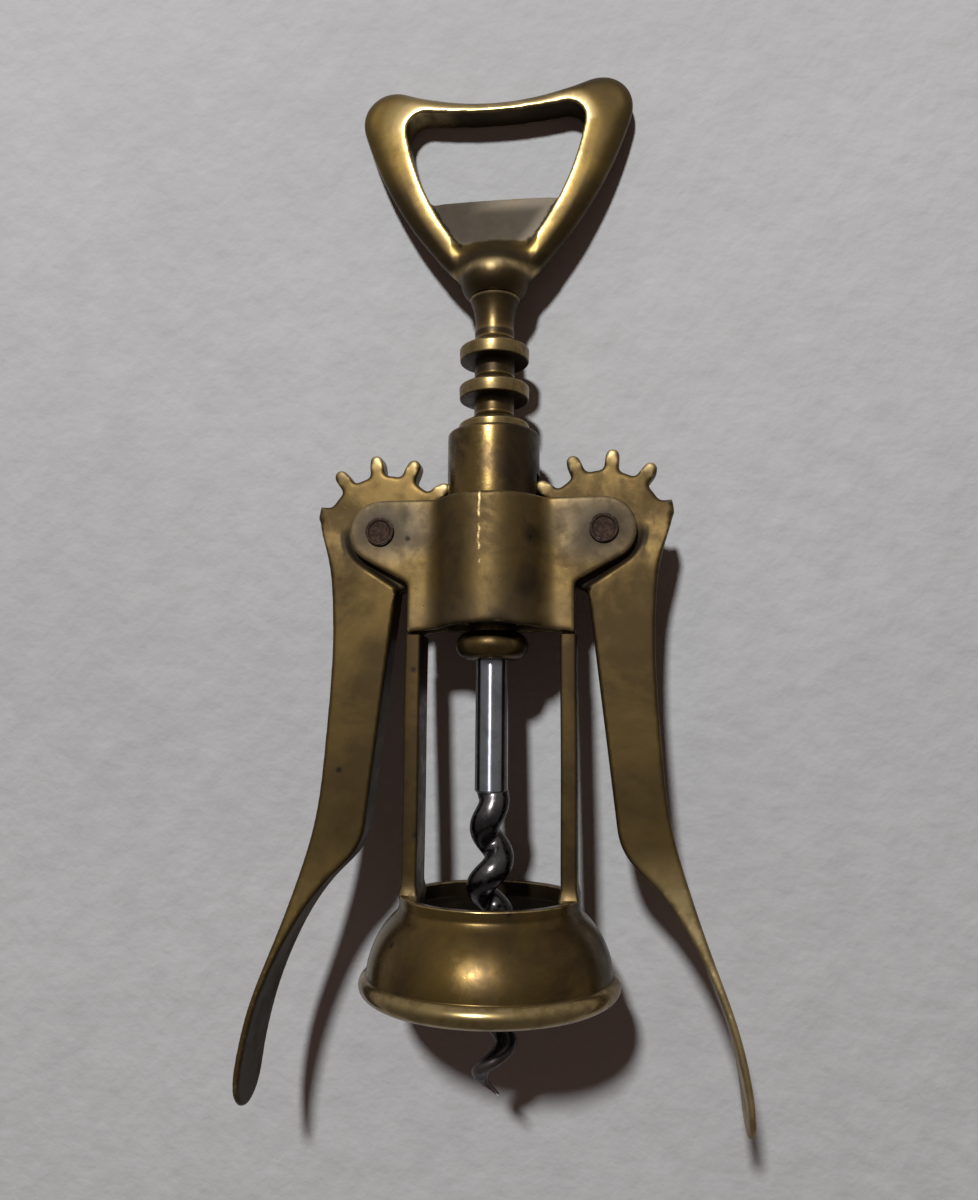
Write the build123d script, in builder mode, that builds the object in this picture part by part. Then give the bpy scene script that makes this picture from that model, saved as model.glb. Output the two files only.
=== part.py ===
from build123d import *
from math import asin, cos, degrees, pi, radians, sin, sqrt, tan
import os

# Wing corkscrew with a bottle opener handle. Millimetres, +Z up along the worm, front towards -Y.
# The origin is the centre of the bell's rim, the face that sits on a bottle.
# The levers are drawn closed, along the legs, and turned out to their resting angle at the end.

# Bell
bell_height = 15.2
bell_rim_radius = 21.0
bell_rim_width = 1.5
bell_bead_height = 3.3
bell_bead_bulge_depth = 1.1
bell_neck_radius = 14.85
bell_neck_height = 2.3
bell_shoulder_step_width = 0.3
bell_dome_bulge_depth = 0.95
bell_wall = 1.4

# Legs, brazed into the bell's neck below and between the plates above
leg_outer_x = 14.2
leg_thickness = 2.6
leg_depth = 7.2
leg_tongue_length = 3.0
leg_tenon_length = 3.2
leg_edge_radius = 0.4
braze_gap = 0.05
plate_seam_gap = 0.25

# Front and back plates with the ears that hold the levers
plate_thickness = 1.9
plate_gap = 4.2
plate_bottom_z = 57.45
plate_side_x = 14.0
plate_arch_height = 1.2
plate_blend_radius = 2.0
plate_edge_radius = 0.4
pivot_x = 18.8
pivot_z = 74.65
ear_radius = 5.45
ear_slope = 29.0
ear_corner_radius = 1.2

# Guide tube, a turned tube that the rack slides in
tube_radius = 7.9
tube_wall = 1.7
tube_top_z = 92.7
tube_bottom_z = 59.6
tube_shoulder_radius = 1.5
bulge_wall = 2.0
tooth_slot_gap = 1.0

# Rack, a turned sleeve with rings for teeth
ring_count = 7
ring_pitch = 6.85
ring_rim_height = 1.7
ring_cone_angle = 45.0
ring_running_gap = 0.1
groove_radius = 3.46
neck_length = 7.1
neck_flare_radius = 4.1
neck_flare_length = 3.2
neck_flare_sagitta = 0.3

# Levers with their tooth sectors
teeth_per_turn = 12
tooth_count = 6
tooth_width = 2.4
tooth_tip_radius = 14.15
tooth_root_radius = 10.4
tooth_root_fillet = 0.9
hub_thickness = 3.8
hub_bore_radius = 2.0
hub_back_x = 8.5
hub_top_depth = 2.5
mesh_angle = 6.9
flank_gap = 0.28
arm_thickness = 6.0
arm_edge_radius = 0.4
arm_straight_length = 48.5
arm_lean_width = 0.65
paddle_length = 47.4
paddle_width = 11.2
paddle_swell_length = 30.0
paddle_swell_offset = 3.5
pocket_gap = 1.4
pocket_top_height = 1.0
pocket_ramp_angle = 30.0
hub_ramp_angle = 70.0
leg_stop_gap = 0.15
# The lever's closed outline: the arm's back from the pivot, X away from the worm and Y up,
# and both sides of the paddle from the elbow, where the arm's straight inner edge ends
arm_corner = (11.9, 3.7)
arm_back_points = ((8.9, -4.8), (6.9, -12.4), (5.2, -24.0), (4.35, -36.0))
paddle_back_points = (
    (8.55, -0.5),
    (9.75, -9.6),
    (12.05, -21.4),
    (14.05, -31.0),
    (14.7, -38.5),
    (14.0, -48.5),
)
paddle_face_points = (
    (4.15, -8.7),
    (7.65, -14.4),
    (10.75, -22.2),
    (12.85, -30.9),
    (13.55, -38.5),
    (13.0, -48.5),
)
arm_corner_heading = (-0.25, -1)
paddle_tip_heading = (-0.12, -1)

# Rivets
rivet_fit = 0.05
rivet_head_radius = 2.45
rivet_head_height = 0.55
rivet_dish_radius = 1.85
rivet_dish_depth = 0.2

# Worm, shank and spindle in one piece of steel, with the brass collar that holds the rack up
collar_radius = 6.1
collar_neck_radius = 4.0
collar_bottom_z = 53.2
collar_bead_height = 4.7
collar_neck_height = 2.5
spindle_radius = 2.4
spindle_fit = 0.05
shank_radius = 2.73
shank_end_z = 31.4
worm_pitch = 9.6
worm_phase_z = 20.9
worm_sections_per_turn = 12
worm_heading_step = 0.05
# Each station of the worm is its height, how far the wire's centre winds out, and the wire's radius
worm_stations = (
    (33.0, 0.0, 2.6),
    (30.0, 0.6, 2.5),
    (24.0, 1.25, 2.4),
    (16.0, 1.65, 2.35),
    (4.0, 2.2, 2.15),
    (-7.8, 2.7, 1.8),
    (-12.6, 1.3, 1.3),
    (-16.2, 2.1, 0.25),
)

# Handle, a cast loop that opens crown caps
ferrule_radius = 6.1
ferrule_height = 6.7
ferrule_foot_radius = 4.3
ferrule_neck_radius = 4.6
spindle_socket_depth = 6.4
handle_depth = 5.0
handle_round_radius = 2.3
handle_crown_height = 37.3
crown_bar_height = 2.6
lobe_half_width = 24.6
lobe_radius = 5.8
lobe_height = 3.6
cheek_radius = 70.0
opening_half_width = 16.1
opening_corner_radius = 3.3
opening_corner_height = 0.9
opening_cheek_radius = 50.0
opener_lip_height = 18.6
opener_lip_crown_height = 0.6
opener_web_thickness = 2.2
arms_meet_half_width = 4.6
arms_meet_height = 7.6
arm_foot_height = 3.4

# Gap between the rack's top and the ferrule, and between its foot and the collar
turning_gap = 0.1

# How near an edge or corner lies to the place it is picked by
pick_gap = 0.01

# Sizes that follow from the ones above
pitch_radius = ring_pitch * teeth_per_turn / (2 * pi)
tube_bore_radius = tube_radius - tube_wall
ring_radius = tube_bore_radius - ring_running_gap
ring_cone_height = (ring_radius - groove_radius) * tan(radians(ring_cone_angle))
plate_inner_y = plate_gap / 2
plate_outer_y = plate_inner_y + plate_thickness
plate_top_z = pivot_z + ear_radius
bulge_radius = tube_radius + bulge_wall
leg_top_z = plate_bottom_z - plate_seam_gap
neck_bore_radius = bell_neck_radius - bell_wall
rivet_radius = hub_bore_radius - rivet_fit
tooth_step = 360 / teeth_per_turn
rack_tooth_z = pivot_z + pitch_radius * radians(mesh_angle)
mesh_ring_z = rack_tooth_z + tooth_width / 2 + flank_gap
rings_above_mesh = 4
top_ring_z = mesh_ring_z + rings_above_mesh * ring_pitch
rack_top_z = top_ring_z + ring_rim_height + ring_cone_height + neck_length
rack_bottom_z = collar_bottom_z + collar_bead_height + collar_neck_height + turning_gap
ferrule_bottom_z = rack_top_z + turning_gap
tooth_reach_z = sqrt(tooth_tip_radius**2 - (pivot_x - tube_radius) ** 2)
slot_top_z = pivot_z + tooth_reach_z + tooth_slot_gap

# The levers close until the arms' inner edges meet the legs
arm_inner_x = leg_outer_x + leg_stop_gap - pivot_x
arm_length = arm_straight_length + paddle_length
rest_angle = 7.3

os.makedirs("parts", exist_ok=True)


def finish(builder, name):
    builder.part.label = name
    export_step(builder.part, f"parts/{name}.step")
    print(name, f"{builder.part.volume:.1f} mm3")


# Bell: an open turned shell with a half-round bead at the rim
with BuildPart() as bell:
    dome_radius = bell_rim_radius - bell_bead_bulge_depth
    seat_radius = dome_radius - bell_rim_width
    shoulder_radius = bell_neck_radius + bell_shoulder_step_width
    shoulder_z = bell_height - bell_neck_height
    with BuildSketch(Plane.XZ):
        with BuildLine():
            seat = Line((seat_radius, 0), (dome_radius, 0))
            bead = ThreePointArc(
                seat @ 1,
                (bell_rim_radius, bell_bead_height / 2),
                (dome_radius, bell_bead_height),
            )
            dome = SagittaArc(bead @ 1, (shoulder_radius, shoulder_z), -bell_dome_bulge_depth)
            shoulder = Line(dome @ 1, (bell_neck_radius, shoulder_z))
            neck = Line(shoulder @ 1, (bell_neck_radius, bell_height))
            mouth = Line(neck @ 1, (neck_bore_radius, bell_height))
            neck_bore = Line(mouth @ 1, (neck_bore_radius, shoulder_z))
            inner_dome = SagittaArc(neck_bore @ 1, (seat_radius, bell_bead_height), bell_dome_bulge_depth)
            Line(inner_dome @ 1, seat @ 0)
        make_face()
    revolve(axis=Axis.Z)
finish(bell, "bell")

# Legs: a bar whose foot stands on the neck's mouth, with a tongue inside it and a tenon on top
with BuildPart() as right_leg:
    leg_centre = (leg_outer_x - leg_thickness / 2, 0)
    with BuildSketch(Plane.XY.offset(bell_height)):
        with Locations(leg_centre):
            Rectangle(leg_thickness, leg_depth)
    extrude(amount=leg_top_z - bell_height)
    fillet(right_leg.edges().filter_by(Axis.Z), leg_edge_radius)
    with BuildSketch(Plane.XY.offset(leg_top_z)):
        with Locations(leg_centre):
            Rectangle(leg_thickness - 2 * leg_edge_radius, plate_gap - 2 * braze_gap)
    extrude(amount=leg_tenon_length)
    with BuildSketch(Plane.XY.offset(bell_height)):
        Circle(neck_bore_radius - braze_gap)
        with Locations(leg_centre):
            Rectangle(leg_thickness, leg_depth - 2 * leg_edge_radius, mode=Mode.INTERSECT)
    extrude(amount=-leg_tongue_length)
finish(right_leg, "right_leg")

with BuildPart() as left_leg:
    mirror(right_leg.part, about=Plane.YZ)
finish(left_leg, "left_leg")

# Front plate: a flange with two ears, bulged over the guide tube
ear_drop = ear_radius * cos(radians(ear_slope))
ear_out = ear_radius * sin(radians(ear_slope))
ear_foot_z = pivot_z - ear_drop - (pivot_x + ear_out - plate_side_x) * tan(radians(ear_slope))
with BuildSketch() as plate_outline:
    with BuildLine():
        Line((0, plate_top_z), (pivot_x, plate_top_z))
        ear = CenterArc((pivot_x, pivot_z), ear_radius, 90, -(180 - ear_slope))
        slope = Line(ear @ 1, (plate_side_x, ear_foot_z))
        side = Line(slope @ 1, (plate_side_x, plate_bottom_z))
        TangentArc((0, plate_bottom_z + plate_arch_height), side @ 1, tangent=(1, 0))
        mirror(about=Plane.YZ)
    make_face()
    corners = plate_outline.vertices().filter_by(lambda v: abs(v.Y - ear_foot_z) < pick_gap)
    fillet(corners, ear_corner_radius)

with BuildPart() as front_plate:
    with BuildSketch(Plane.XY.offset(plate_bottom_z)) as section:
        flange_width = 2 * (pivot_x + ear_radius)
        Circle(bulge_radius)
        with Locations((0, bulge_radius / 2 - plate_inner_y)):
            Rectangle(2 * bulge_radius, bulge_radius, mode=Mode.SUBTRACT)
        with Locations((0, -plate_inner_y - plate_thickness / 2)):
            Rectangle(flange_width, plate_thickness)
        blend_x = sqrt(bulge_radius**2 - plate_outer_y**2)
        junctions = section.vertices().filter_by(
            lambda v: abs(abs(v.X) - blend_x) < pick_gap and abs(v.Y + plate_outer_y) < pick_gap
        )
        fillet(junctions, plate_blend_radius)
        Circle(tube_radius + braze_gap, mode=Mode.SUBTRACT)
    extrude(amount=plate_top_z - plate_bottom_z)
    with BuildSketch(Plane.XZ):
        add(plate_outline.sketch)
    extrude(amount=bulge_radius, mode=Mode.INTERSECT)
    rims = front_plate.edges().filter_by(
        lambda e: e.bounding_box().max.Y < -plate_outer_y + pick_gap
        and (abs(e.center().X) > plate_side_x - pick_gap or e.bounding_box().size.Z < ear_radius)
    )
    fillet(rims, plate_edge_radius)
    with BuildSketch(Plane.XZ):
        with Locations((pivot_x, pivot_z), (-pivot_x, pivot_z)):
            Circle(rivet_radius)
    extrude(amount=bulge_radius, mode=Mode.SUBTRACT)
finish(front_plate, "front_plate")

with BuildPart() as back_plate:
    mirror(front_plate.part, about=Plane.XZ)
finish(back_plate, "back_plate")

# Guide tube: slotted on both sides for the teeth, up to where they swing clear of it
with BuildPart() as guide_tube:
    with BuildSketch(Plane.XY.offset(tube_bottom_z)):
        Circle(tube_radius)
    extrude(amount=tube_top_z - tube_bottom_z)
    fillet(guide_tube.faces().sort_by(Axis.Z)[-1].edges(), tube_shoulder_radius)
    with BuildSketch(Plane.XY.offset(tube_bottom_z)):
        Circle(tube_bore_radius)
    extrude(amount=tube_top_z - tube_bottom_z, mode=Mode.SUBTRACT)
    with BuildSketch(Plane.XY.offset(tube_bottom_z)):
        Rectangle(3 * tube_radius, plate_gap)
    extrude(amount=slot_top_z - tube_bottom_z, mode=Mode.SUBTRACT)
finish(guide_tube, "guide_tube")

# Rack: a sleeve on the spindle, its rings flat below and conical above
rack_line = [(spindle_radius + spindle_fit, rack_bottom_z), (groove_radius, rack_bottom_z)]
for ring in range(ring_count - 1, -1, -1):
    ring_z = top_ring_z - ring * ring_pitch
    rack_line.append((groove_radius, ring_z))
    rack_line.append((ring_radius, ring_z))
    rack_line.append((ring_radius, ring_z + ring_rim_height))
    rack_line.append((groove_radius, ring_z + ring_rim_height + ring_cone_height))
rack_line.append((groove_radius, rack_top_z - neck_flare_length))

with BuildPart() as rack:
    with BuildSketch(Plane.XZ):
        with BuildLine():
            turned = Polyline(*rack_line)
            flare = SagittaArc(turned @ 1, (neck_flare_radius, rack_top_z), neck_flare_sagitta)
            top_face = Line(flare @ 1, (spindle_radius + spindle_fit, rack_top_z))
            Line(top_face @ 1, turned @ 0)
        make_face()
    revolve(axis=Axis.Z)
finish(rack, "rack")

# End collar: a bullnose ring with a short neck, fast on the spindle below the rack
with BuildPart() as end_collar:
    bead_top_z = collar_bottom_z + collar_bead_height
    neck_top_z = bead_top_z + collar_neck_height
    with BuildSketch(Plane.XZ):
        with BuildLine():
            Polyline(
                (collar_neck_radius, bead_top_z),
                (collar_neck_radius, neck_top_z),
                (spindle_radius, neck_top_z),
                (spindle_radius, collar_bottom_z),
                (collar_neck_radius, collar_bottom_z),
            )
            ThreePointArc(
                (collar_neck_radius, collar_bottom_z),
                (collar_radius, collar_bottom_z + collar_bead_height / 2),
                (collar_neck_radius, bead_top_z),
            )
        make_face()
    revolve(axis=Axis.Z)
finish(end_collar, "end_collar")


def worm_station(z):
    """Winding radius and wire radius at a height, straight between the stations."""
    for (z0, wind0, wire0), (z1, wind1, wire1) in zip(worm_stations, worm_stations[1:]):
        if z >= z1:
            share = (z0 - z) / (z0 - z1)
            return wind0 + share * (wind1 - wind0), wire0 + share * (wire1 - wire0)
    return worm_stations[-1][1:]


def worm_point(z):
    """Centre of the wire at a height, on a right-hand helix."""
    wind = worm_station(z)[0]
    turn = 2 * pi * (z - worm_phase_z) / worm_pitch
    return Vector(wind * cos(turn), wind * sin(turn), z)


def worm_plane(z):
    """Plane square to the wire, turned so that its X points away from the worm's axis."""
    turn = 2 * pi * (z - worm_phase_z) / worm_pitch
    heading = worm_point(z - worm_heading_step) - worm_point(z + worm_heading_step)
    return Plane(origin=worm_point(z), x_dir=(cos(turn), sin(turn), 0), z_dir=heading)


# Worm: the spindle through the rack, the bright shank, and the wire wound to its point
with BuildPart() as worm:
    with BuildSketch(Plane.XY.offset(shank_end_z)):
        Circle(shank_radius)
    extrude(amount=collar_bottom_z - shank_end_z)
    with BuildSketch(Plane.XY.offset(collar_bottom_z)):
        Circle(spindle_radius)
    extrude(amount=ferrule_bottom_z + spindle_socket_depth - collar_bottom_z)
    worm_top_z = worm_stations[0][0]
    worm_drop = worm_top_z - worm_stations[-1][0]
    span_count = round(worm_drop / worm_pitch * worm_sections_per_turn)
    for span in range(span_count):
        for end in (span, span + 1):
            z = worm_top_z - worm_drop * end / span_count
            with BuildSketch(worm_plane(z)):
                Circle(worm_station(z)[1])
        loft(ruled=True)
finish(worm, "worm")


def loop_face(top_y, lobe_centre, lobe, foot, cheek):
    """Half a heart with a dipped top, mirrored: both arcs run smoothly into the lobe's circle."""
    rise = top_y - lobe_centre.Y
    crown = (lobe_centre.X**2 + rise**2 - lobe**2) / (2 * (lobe - rise))
    crown_centre = Vector(0, top_y + crown)
    crown_end = lobe_centre + (crown_centre - lobe_centre).normalized() * lobe
    crown_half_angle = degrees(asin(crown_end.X / crown)) / 2
    crown_middle = crown_centre + Vector(0, -crown).rotate(Axis.Z, crown_half_angle)
    reach = foot - lobe_centre
    along = (reach.length**2 + (cheek - lobe) ** 2 - cheek**2) / (2 * reach.length)
    aside = sqrt((cheek - lobe) ** 2 - along**2)
    unit = reach.normalized()
    cheek_centre = lobe_centre + unit * along + Vector(unit.Y, -unit.X) * aside
    cheek_start = lobe_centre + (lobe_centre - cheek_centre).normalized() * lobe
    lobe_middle = lobe_centre + ((crown_end + cheek_start) * 0.5 - lobe_centre).normalized() * lobe
    with BuildSketch() as face:
        with BuildLine():
            ThreePointArc((0, top_y), crown_middle, crown_end)
            ThreePointArc(crown_end, lobe_middle, cheek_start)
            RadiusArc(cheek_start, foot, cheek)
            Line(foot, (0, foot.Y))
            mirror(about=Plane.YZ)
        make_face()
    return face.sketch


# Handle: the loop is rounded outside and flat inside, with a thin web as the opener's lip
crown_z = ferrule_bottom_z + handle_crown_height
foot_z = ferrule_bottom_z + arm_foot_height
loop_outline = loop_face(
    crown_z,
    Vector(lobe_half_width - lobe_radius, crown_z + lobe_height - lobe_radius),
    lobe_radius,
    Vector(ferrule_radius, foot_z),
    cheek_radius,
)
opening_top_z = crown_z - crown_bar_height
loop_inside = loop_face(
    opening_top_z,
    Vector(
        opening_half_width - opening_corner_radius,
        opening_top_z + opening_corner_height - opening_corner_radius,
    ),
    opening_corner_radius,
    Vector(arms_meet_half_width, ferrule_bottom_z + arms_meet_height),
    opening_cheek_radius,
)
lip_z = ferrule_bottom_z + opener_lip_height

with BuildSketch() as web_outline:
    with BuildLine():
        lip = ThreePointArc(
            (-opening_half_width, lip_z - opener_lip_crown_height),
            (0, lip_z),
            (opening_half_width, lip_z - opener_lip_crown_height),
        )
        Polyline(lip @ 1, (opening_half_width, foot_z), (-opening_half_width, foot_z), lip @ 0)
    make_face()
    add(loop_outline, mode=Mode.INTERSECT)

with BuildPart() as ferrule:
    ferrule_top_z = ferrule_bottom_z + ferrule_height
    with BuildSketch(Plane.XZ):
        with BuildLine():
            bullnose = ThreePointArc(
                (ferrule_foot_radius, ferrule_bottom_z),
                (ferrule_radius, ferrule_bottom_z + ferrule_height / 2),
                (ferrule_neck_radius, ferrule_top_z),
            )
            Polyline(bullnose @ 1, (0, ferrule_top_z), (0, ferrule_bottom_z), bullnose @ 0)
        make_face()
    revolve(axis=Axis.Z)

with BuildPart() as handle:
    with BuildSketch(Plane.XZ):
        add(loop_outline)
    extrude(amount=handle_depth / 2, both=True)
    fillet(handle.edges().filter_by(GeomType.CIRCLE), handle_round_radius)
    with BuildSketch(Plane.XZ):
        add(loop_inside)
    extrude(amount=handle_depth, both=True, mode=Mode.SUBTRACT)
    with BuildSketch(Plane.XZ):
        add(web_outline.sketch)
    extrude(amount=opener_web_thickness / 2, both=True)
    add(ferrule.part)
    with BuildSketch(Plane.XY.offset(ferrule_bottom_z)):
        Circle(spindle_radius)
    extrude(amount=spindle_socket_depth, mode=Mode.SUBTRACT)
finish(handle, "handle")

# Lever planes at rest: one across the pivot, one along the arm
rest = radians(rest_angle)
lever_out = (cos(rest), 0, sin(rest))
lever_plane = Plane(origin=(pivot_x, 0, pivot_z), x_dir=lever_out, z_dir=(0, -1, 0))
lever_side_plane = Plane(origin=(pivot_x, 0, pivot_z), x_dir=(0, 1, 0), z_dir=lever_out)
paddle_round = paddle_width / 2

elbow = Vector(arm_inner_x, -arm_straight_length)
paddle_face_line = [elbow + Vector(*point) for point in paddle_face_points]
paddle_back_line = [elbow + Vector(*point) for point in paddle_back_points]
with BuildSketch() as arm_outline:
    with BuildLine():
        arm_face = Line((arm_inner_x + arm_lean_width, arm_corner[1]), elbow)
        paddle_face = Spline(elbow, *paddle_face_line, tangents=((0, -1), paddle_tip_heading))
        paddle_back = Spline(
            arm_corner,
            *arm_back_points,
            *paddle_back_line,
            tangents=(arm_corner_heading, paddle_tip_heading),
        )
        Line(paddle_face @ 1, paddle_back @ 1)
        Line(arm_corner, arm_face @ 0)
    make_face()

with BuildSketch() as arm_side:
    with BuildLine():
        swell_top = Vector(arm_thickness / 2, -arm_straight_length - paddle_swell_offset)
        swell_end = Vector(paddle_round, swell_top.Y - paddle_swell_length)
        arm_edge = Line((arm_thickness / 2, arm_corner[1]), swell_top)
        swell = Spline(swell_top, swell_end, tangents=((0, -1), (0, -1)))
        Line(swell_end, (paddle_round, paddle_round - arm_length))
        CenterArc((0, paddle_round - arm_length), paddle_round, 0, -90)
        Line((0, arm_corner[1]), arm_edge @ 0)
        mirror(about=Plane.YZ)
    make_face()

# Pocket: where the arm thins to pass between the ears
pocket_radius = ear_radius + pocket_gap
pocket_side = 3 * tooth_tip_radius
pocket_turn = radians(ear_slope)
with BuildSketch() as pocket_outline:
    with BuildLine():
        pocket_end = Vector(sqrt(pocket_radius**2 - pocket_top_height**2), pocket_top_height)
        pocket_start = Vector(pocket_radius * sin(pocket_turn), -pocket_radius * cos(pocket_turn))
        RadiusArc(pocket_start, pocket_end, -pocket_radius)
        Polyline(
            pocket_end,
            (pocket_side, pocket_top_height),
            (pocket_side, pocket_side),
            (-pocket_side, pocket_side),
            (-pocket_side, pocket_start.Y - (pocket_start.X + pocket_side) * tan(pocket_turn)),
            pocket_start,
        )
    make_face()

# Hub: a disc with round-ended teeth
with BuildSketch() as hub_outline:
    Circle(tooth_root_radius)
    with Locations((hub_back_x, arm_corner[1])):
        Rectangle(tooth_root_radius, 2 * tooth_root_radius, align=(Align.MIN, Align.MAX), mode=Mode.SUBTRACT)
    with Locations(arm_corner):
        Rectangle(arm_corner[0], hub_top_depth, align=(Align.MAX, Align.MAX))
    for tooth in range(tooth_count):
        tooth_angle = 180 - mesh_angle - rest_angle + (1 - tooth) * tooth_step
        with Locations(Location((0, 0, 0), (0, 0, tooth_angle))):
            with Locations((tooth_tip_radius / 2, 0)):
                SlotOverall(tooth_tip_radius, tooth_width)
    roots = hub_outline.vertices().filter_by(
        lambda v: abs(v.center().length - tooth_root_radius) < pick_gap and v.Y > -tooth_root_radius / 2
    )
    fillet(roots, tooth_root_fillet)

with BuildPart() as right_lever:
    with BuildSketch(lever_plane):
        add(arm_outline.sketch)
    extrude(amount=paddle_width, both=True)
    with BuildSketch(lever_side_plane):
        add(arm_side.sketch)
    extrude(amount=arm_length, both=True, mode=Mode.INTERSECT)
    fillet(right_lever.edges(), arm_edge_radius)
    for side in (1, -1):
        with BuildSketch(lever_plane.offset(side * hub_thickness / 2)):
            add(pocket_outline.sketch)
        extrude(amount=side * paddle_width, taper=-pocket_ramp_angle, mode=Mode.SUBTRACT)
        with BuildSketch(lever_plane.offset(side * hub_thickness / 2)):
            with Locations((0, pocket_top_height)):
                Rectangle(2 * pocket_side, pocket_side, align=(Align.CENTER, Align.MIN))
        extrude(amount=side * arm_thickness / 2, taper=-hub_ramp_angle, mode=Mode.SUBTRACT)
    with BuildSketch(lever_plane):
        add(hub_outline.sketch)
    extrude(amount=hub_thickness / 2, both=True)
    with BuildSketch(lever_plane):
        Circle(hub_bore_radius)
    extrude(amount=hub_thickness, both=True, mode=Mode.SUBTRACT)
finish(right_lever, "right_lever")

with BuildPart() as left_lever:
    mirror(right_lever.part, about=Plane.YZ)
finish(left_lever, "left_lever")

# Rivets: a shank through both ears, with a dished head outside each
with BuildPart() as right_rivet:
    with BuildSketch(lever_plane):
        Circle(rivet_radius)
    extrude(amount=plate_outer_y, both=True)
    for side in (1, -1):
        with BuildSketch(lever_plane.offset(side * plate_outer_y)):
            Circle(rivet_head_radius)
        extrude(amount=side * rivet_head_height)
        with BuildSketch(lever_plane.offset(side * (plate_outer_y + rivet_head_height))):
            Circle(rivet_dish_radius)
        extrude(amount=-side * rivet_dish_depth, mode=Mode.SUBTRACT)
finish(right_rivet, "right_rivet")

with BuildPart() as left_rivet:
    mirror(right_rivet.part, about=Plane.YZ)
finish(left_rivet, "left_rivet")
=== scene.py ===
import math

import bmesh
import bpy
import numpy as np
from bpy.props import FloatProperty, FloatVectorProperty, IntProperty, PointerProperty
from bpy.types import Operator, Panel, PropertyGroup
from mathutils import Matrix, Vector
from mathutils.kdtree import KDTree


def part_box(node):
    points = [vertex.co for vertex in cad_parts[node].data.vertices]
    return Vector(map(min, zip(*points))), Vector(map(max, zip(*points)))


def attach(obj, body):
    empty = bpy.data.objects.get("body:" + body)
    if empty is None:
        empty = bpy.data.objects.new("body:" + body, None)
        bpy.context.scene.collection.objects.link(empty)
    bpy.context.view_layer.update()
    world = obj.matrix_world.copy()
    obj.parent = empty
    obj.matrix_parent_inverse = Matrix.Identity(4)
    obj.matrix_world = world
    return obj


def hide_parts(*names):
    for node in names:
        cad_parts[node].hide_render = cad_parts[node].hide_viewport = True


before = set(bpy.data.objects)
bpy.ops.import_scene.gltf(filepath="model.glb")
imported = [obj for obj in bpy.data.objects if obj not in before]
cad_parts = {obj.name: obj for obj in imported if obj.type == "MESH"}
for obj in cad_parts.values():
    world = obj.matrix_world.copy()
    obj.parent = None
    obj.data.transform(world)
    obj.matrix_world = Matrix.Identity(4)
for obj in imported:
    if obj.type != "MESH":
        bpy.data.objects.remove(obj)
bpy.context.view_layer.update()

bl_info = {
    "name": "Wing Corkscrew",
    "version": (1, 0, 0),
    "blender": (4, 5, 0),
    "location": "3D View > Sidebar > Corkscrew",
    "description": "Builds an old brass wing corkscrew with its rack, worm, levers and bottle opener handle",
    "category": "Object",
}

MM = 0.001


def size(name, description, default):
    """A length in metres that a user may change."""
    return FloatProperty(
        name=name, description=description, default=default, min=0.0, precision=5, unit="LENGTH", subtype="DISTANCE"
    )


def colour(name, description, default):
    """A linear colour that a user may change."""
    return FloatVectorProperty(
        name=name, description=description, default=default, min=0.0, max=1.0, size=3, subtype="COLOR"
    )


def amount(name, description, default):
    """A share from none to all."""
    return FloatProperty(name=name, description=description, default=default, min=0.0, max=1.0, subtype="FACTOR")


# ---------------------------------------------------------------- sizes and colours


class BellSizes(PropertyGroup):
    rim_radius: size("Rim Radius", "Bead at the bell's rim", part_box("bell")[1].x)
    height: size("Height", "From the rim to the mouth of the neck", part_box("bell")[1].z)
    bead_height: size("Bead Height", "Half-round bead at the rim", 3.3 * MM)
    neck_radius: size("Neck Radius", "Outside of the neck", 14.7 * MM)
    neck_height: size("Neck Height", "Straight neck above the dome", 2.3 * MM)
    wall: size("Wall", "Thickness of the turned shell", 1.4 * MM)


class LegSizes(PropertyGroup):
    thickness: size("Thickness", "Of the drawn bar", 2.6 * MM)
    depth: size("Depth", "Of the drawn bar, front to back", 7.2 * MM)
    outer_x: size("Outer Face", "From the worm's axis to the outside of a leg", 14.2 * MM)
    solder_height: size("Solder Height", "Fillet of solder round each foot", 1.5 * MM)
    shoulder: size("Shoulder", "Height where a leg narrows to its tenon", 57.2 * MM)


class TubeSizes(PropertyGroup):
    radius: size("Radius", "Outside of the guide tube", 7.9 * MM)
    bore: size("Bore Radius", "Inside of the guide tube", 6.2 * MM)
    slot_width: size("Slot Width", "Slots for the levers' teeth", 4.2 * MM)
    slot_top: size("Slot Top", "Height of the slots' upper ends", 84.6 * MM)


class RackSizes(PropertyGroup):
    ring_count: IntProperty(name="Rings", description="Rings that work as teeth", default=7, min=2, max=12)
    ring_pitch: size("Ring Pitch", "From one ring to the next", 6.85 * MM)
    ring_radius: size("Ring Radius", "Rim of each ring", 6.1 * MM)
    rim_height: size("Rim Height", "Straight rim under each cone", 1.7 * MM)
    groove_radius: size("Groove Radius", "Core between the rings", 3.46 * MM)
    top_ring: size("Top Ring", "Height of the top ring's underside", 105.11 * MM)


class WormSizes(PropertyGroup):
    pitch: size("Pitch", "Rise in one turn of the worm", 9.6 * MM)
    shank_radius: size("Shank Radius", "Straight bright part of the worm", 2.73 * MM)
    shank_end: size("Shank End", "Height where the wire starts to wind", 31.4 * MM)
    spindle_radius: size("Spindle Radius", "Of the spindle through the rack", 2.4 * MM)
    blade: amount("Blade", "How far the wire thins to a blade towards its point", 0.42)


class RivetSizes(PropertyGroup):
    head_radius: size("Head Radius", "Of each rivet head", 2.45 * MM)
    head_height: size("Head Height", "How far a head stands off the plate", 0.55 * MM)
    dish_depth: size("Dish Depth", "Hollow in the middle of a head", 0.22 * MM)
    stem_radius: size("Stem Radius", "Of the stem through the ear", 1.95 * MM)
    seat: size("Seat", "From the middle of the tool to the outside of an ear", 4.0 * MM)


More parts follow.
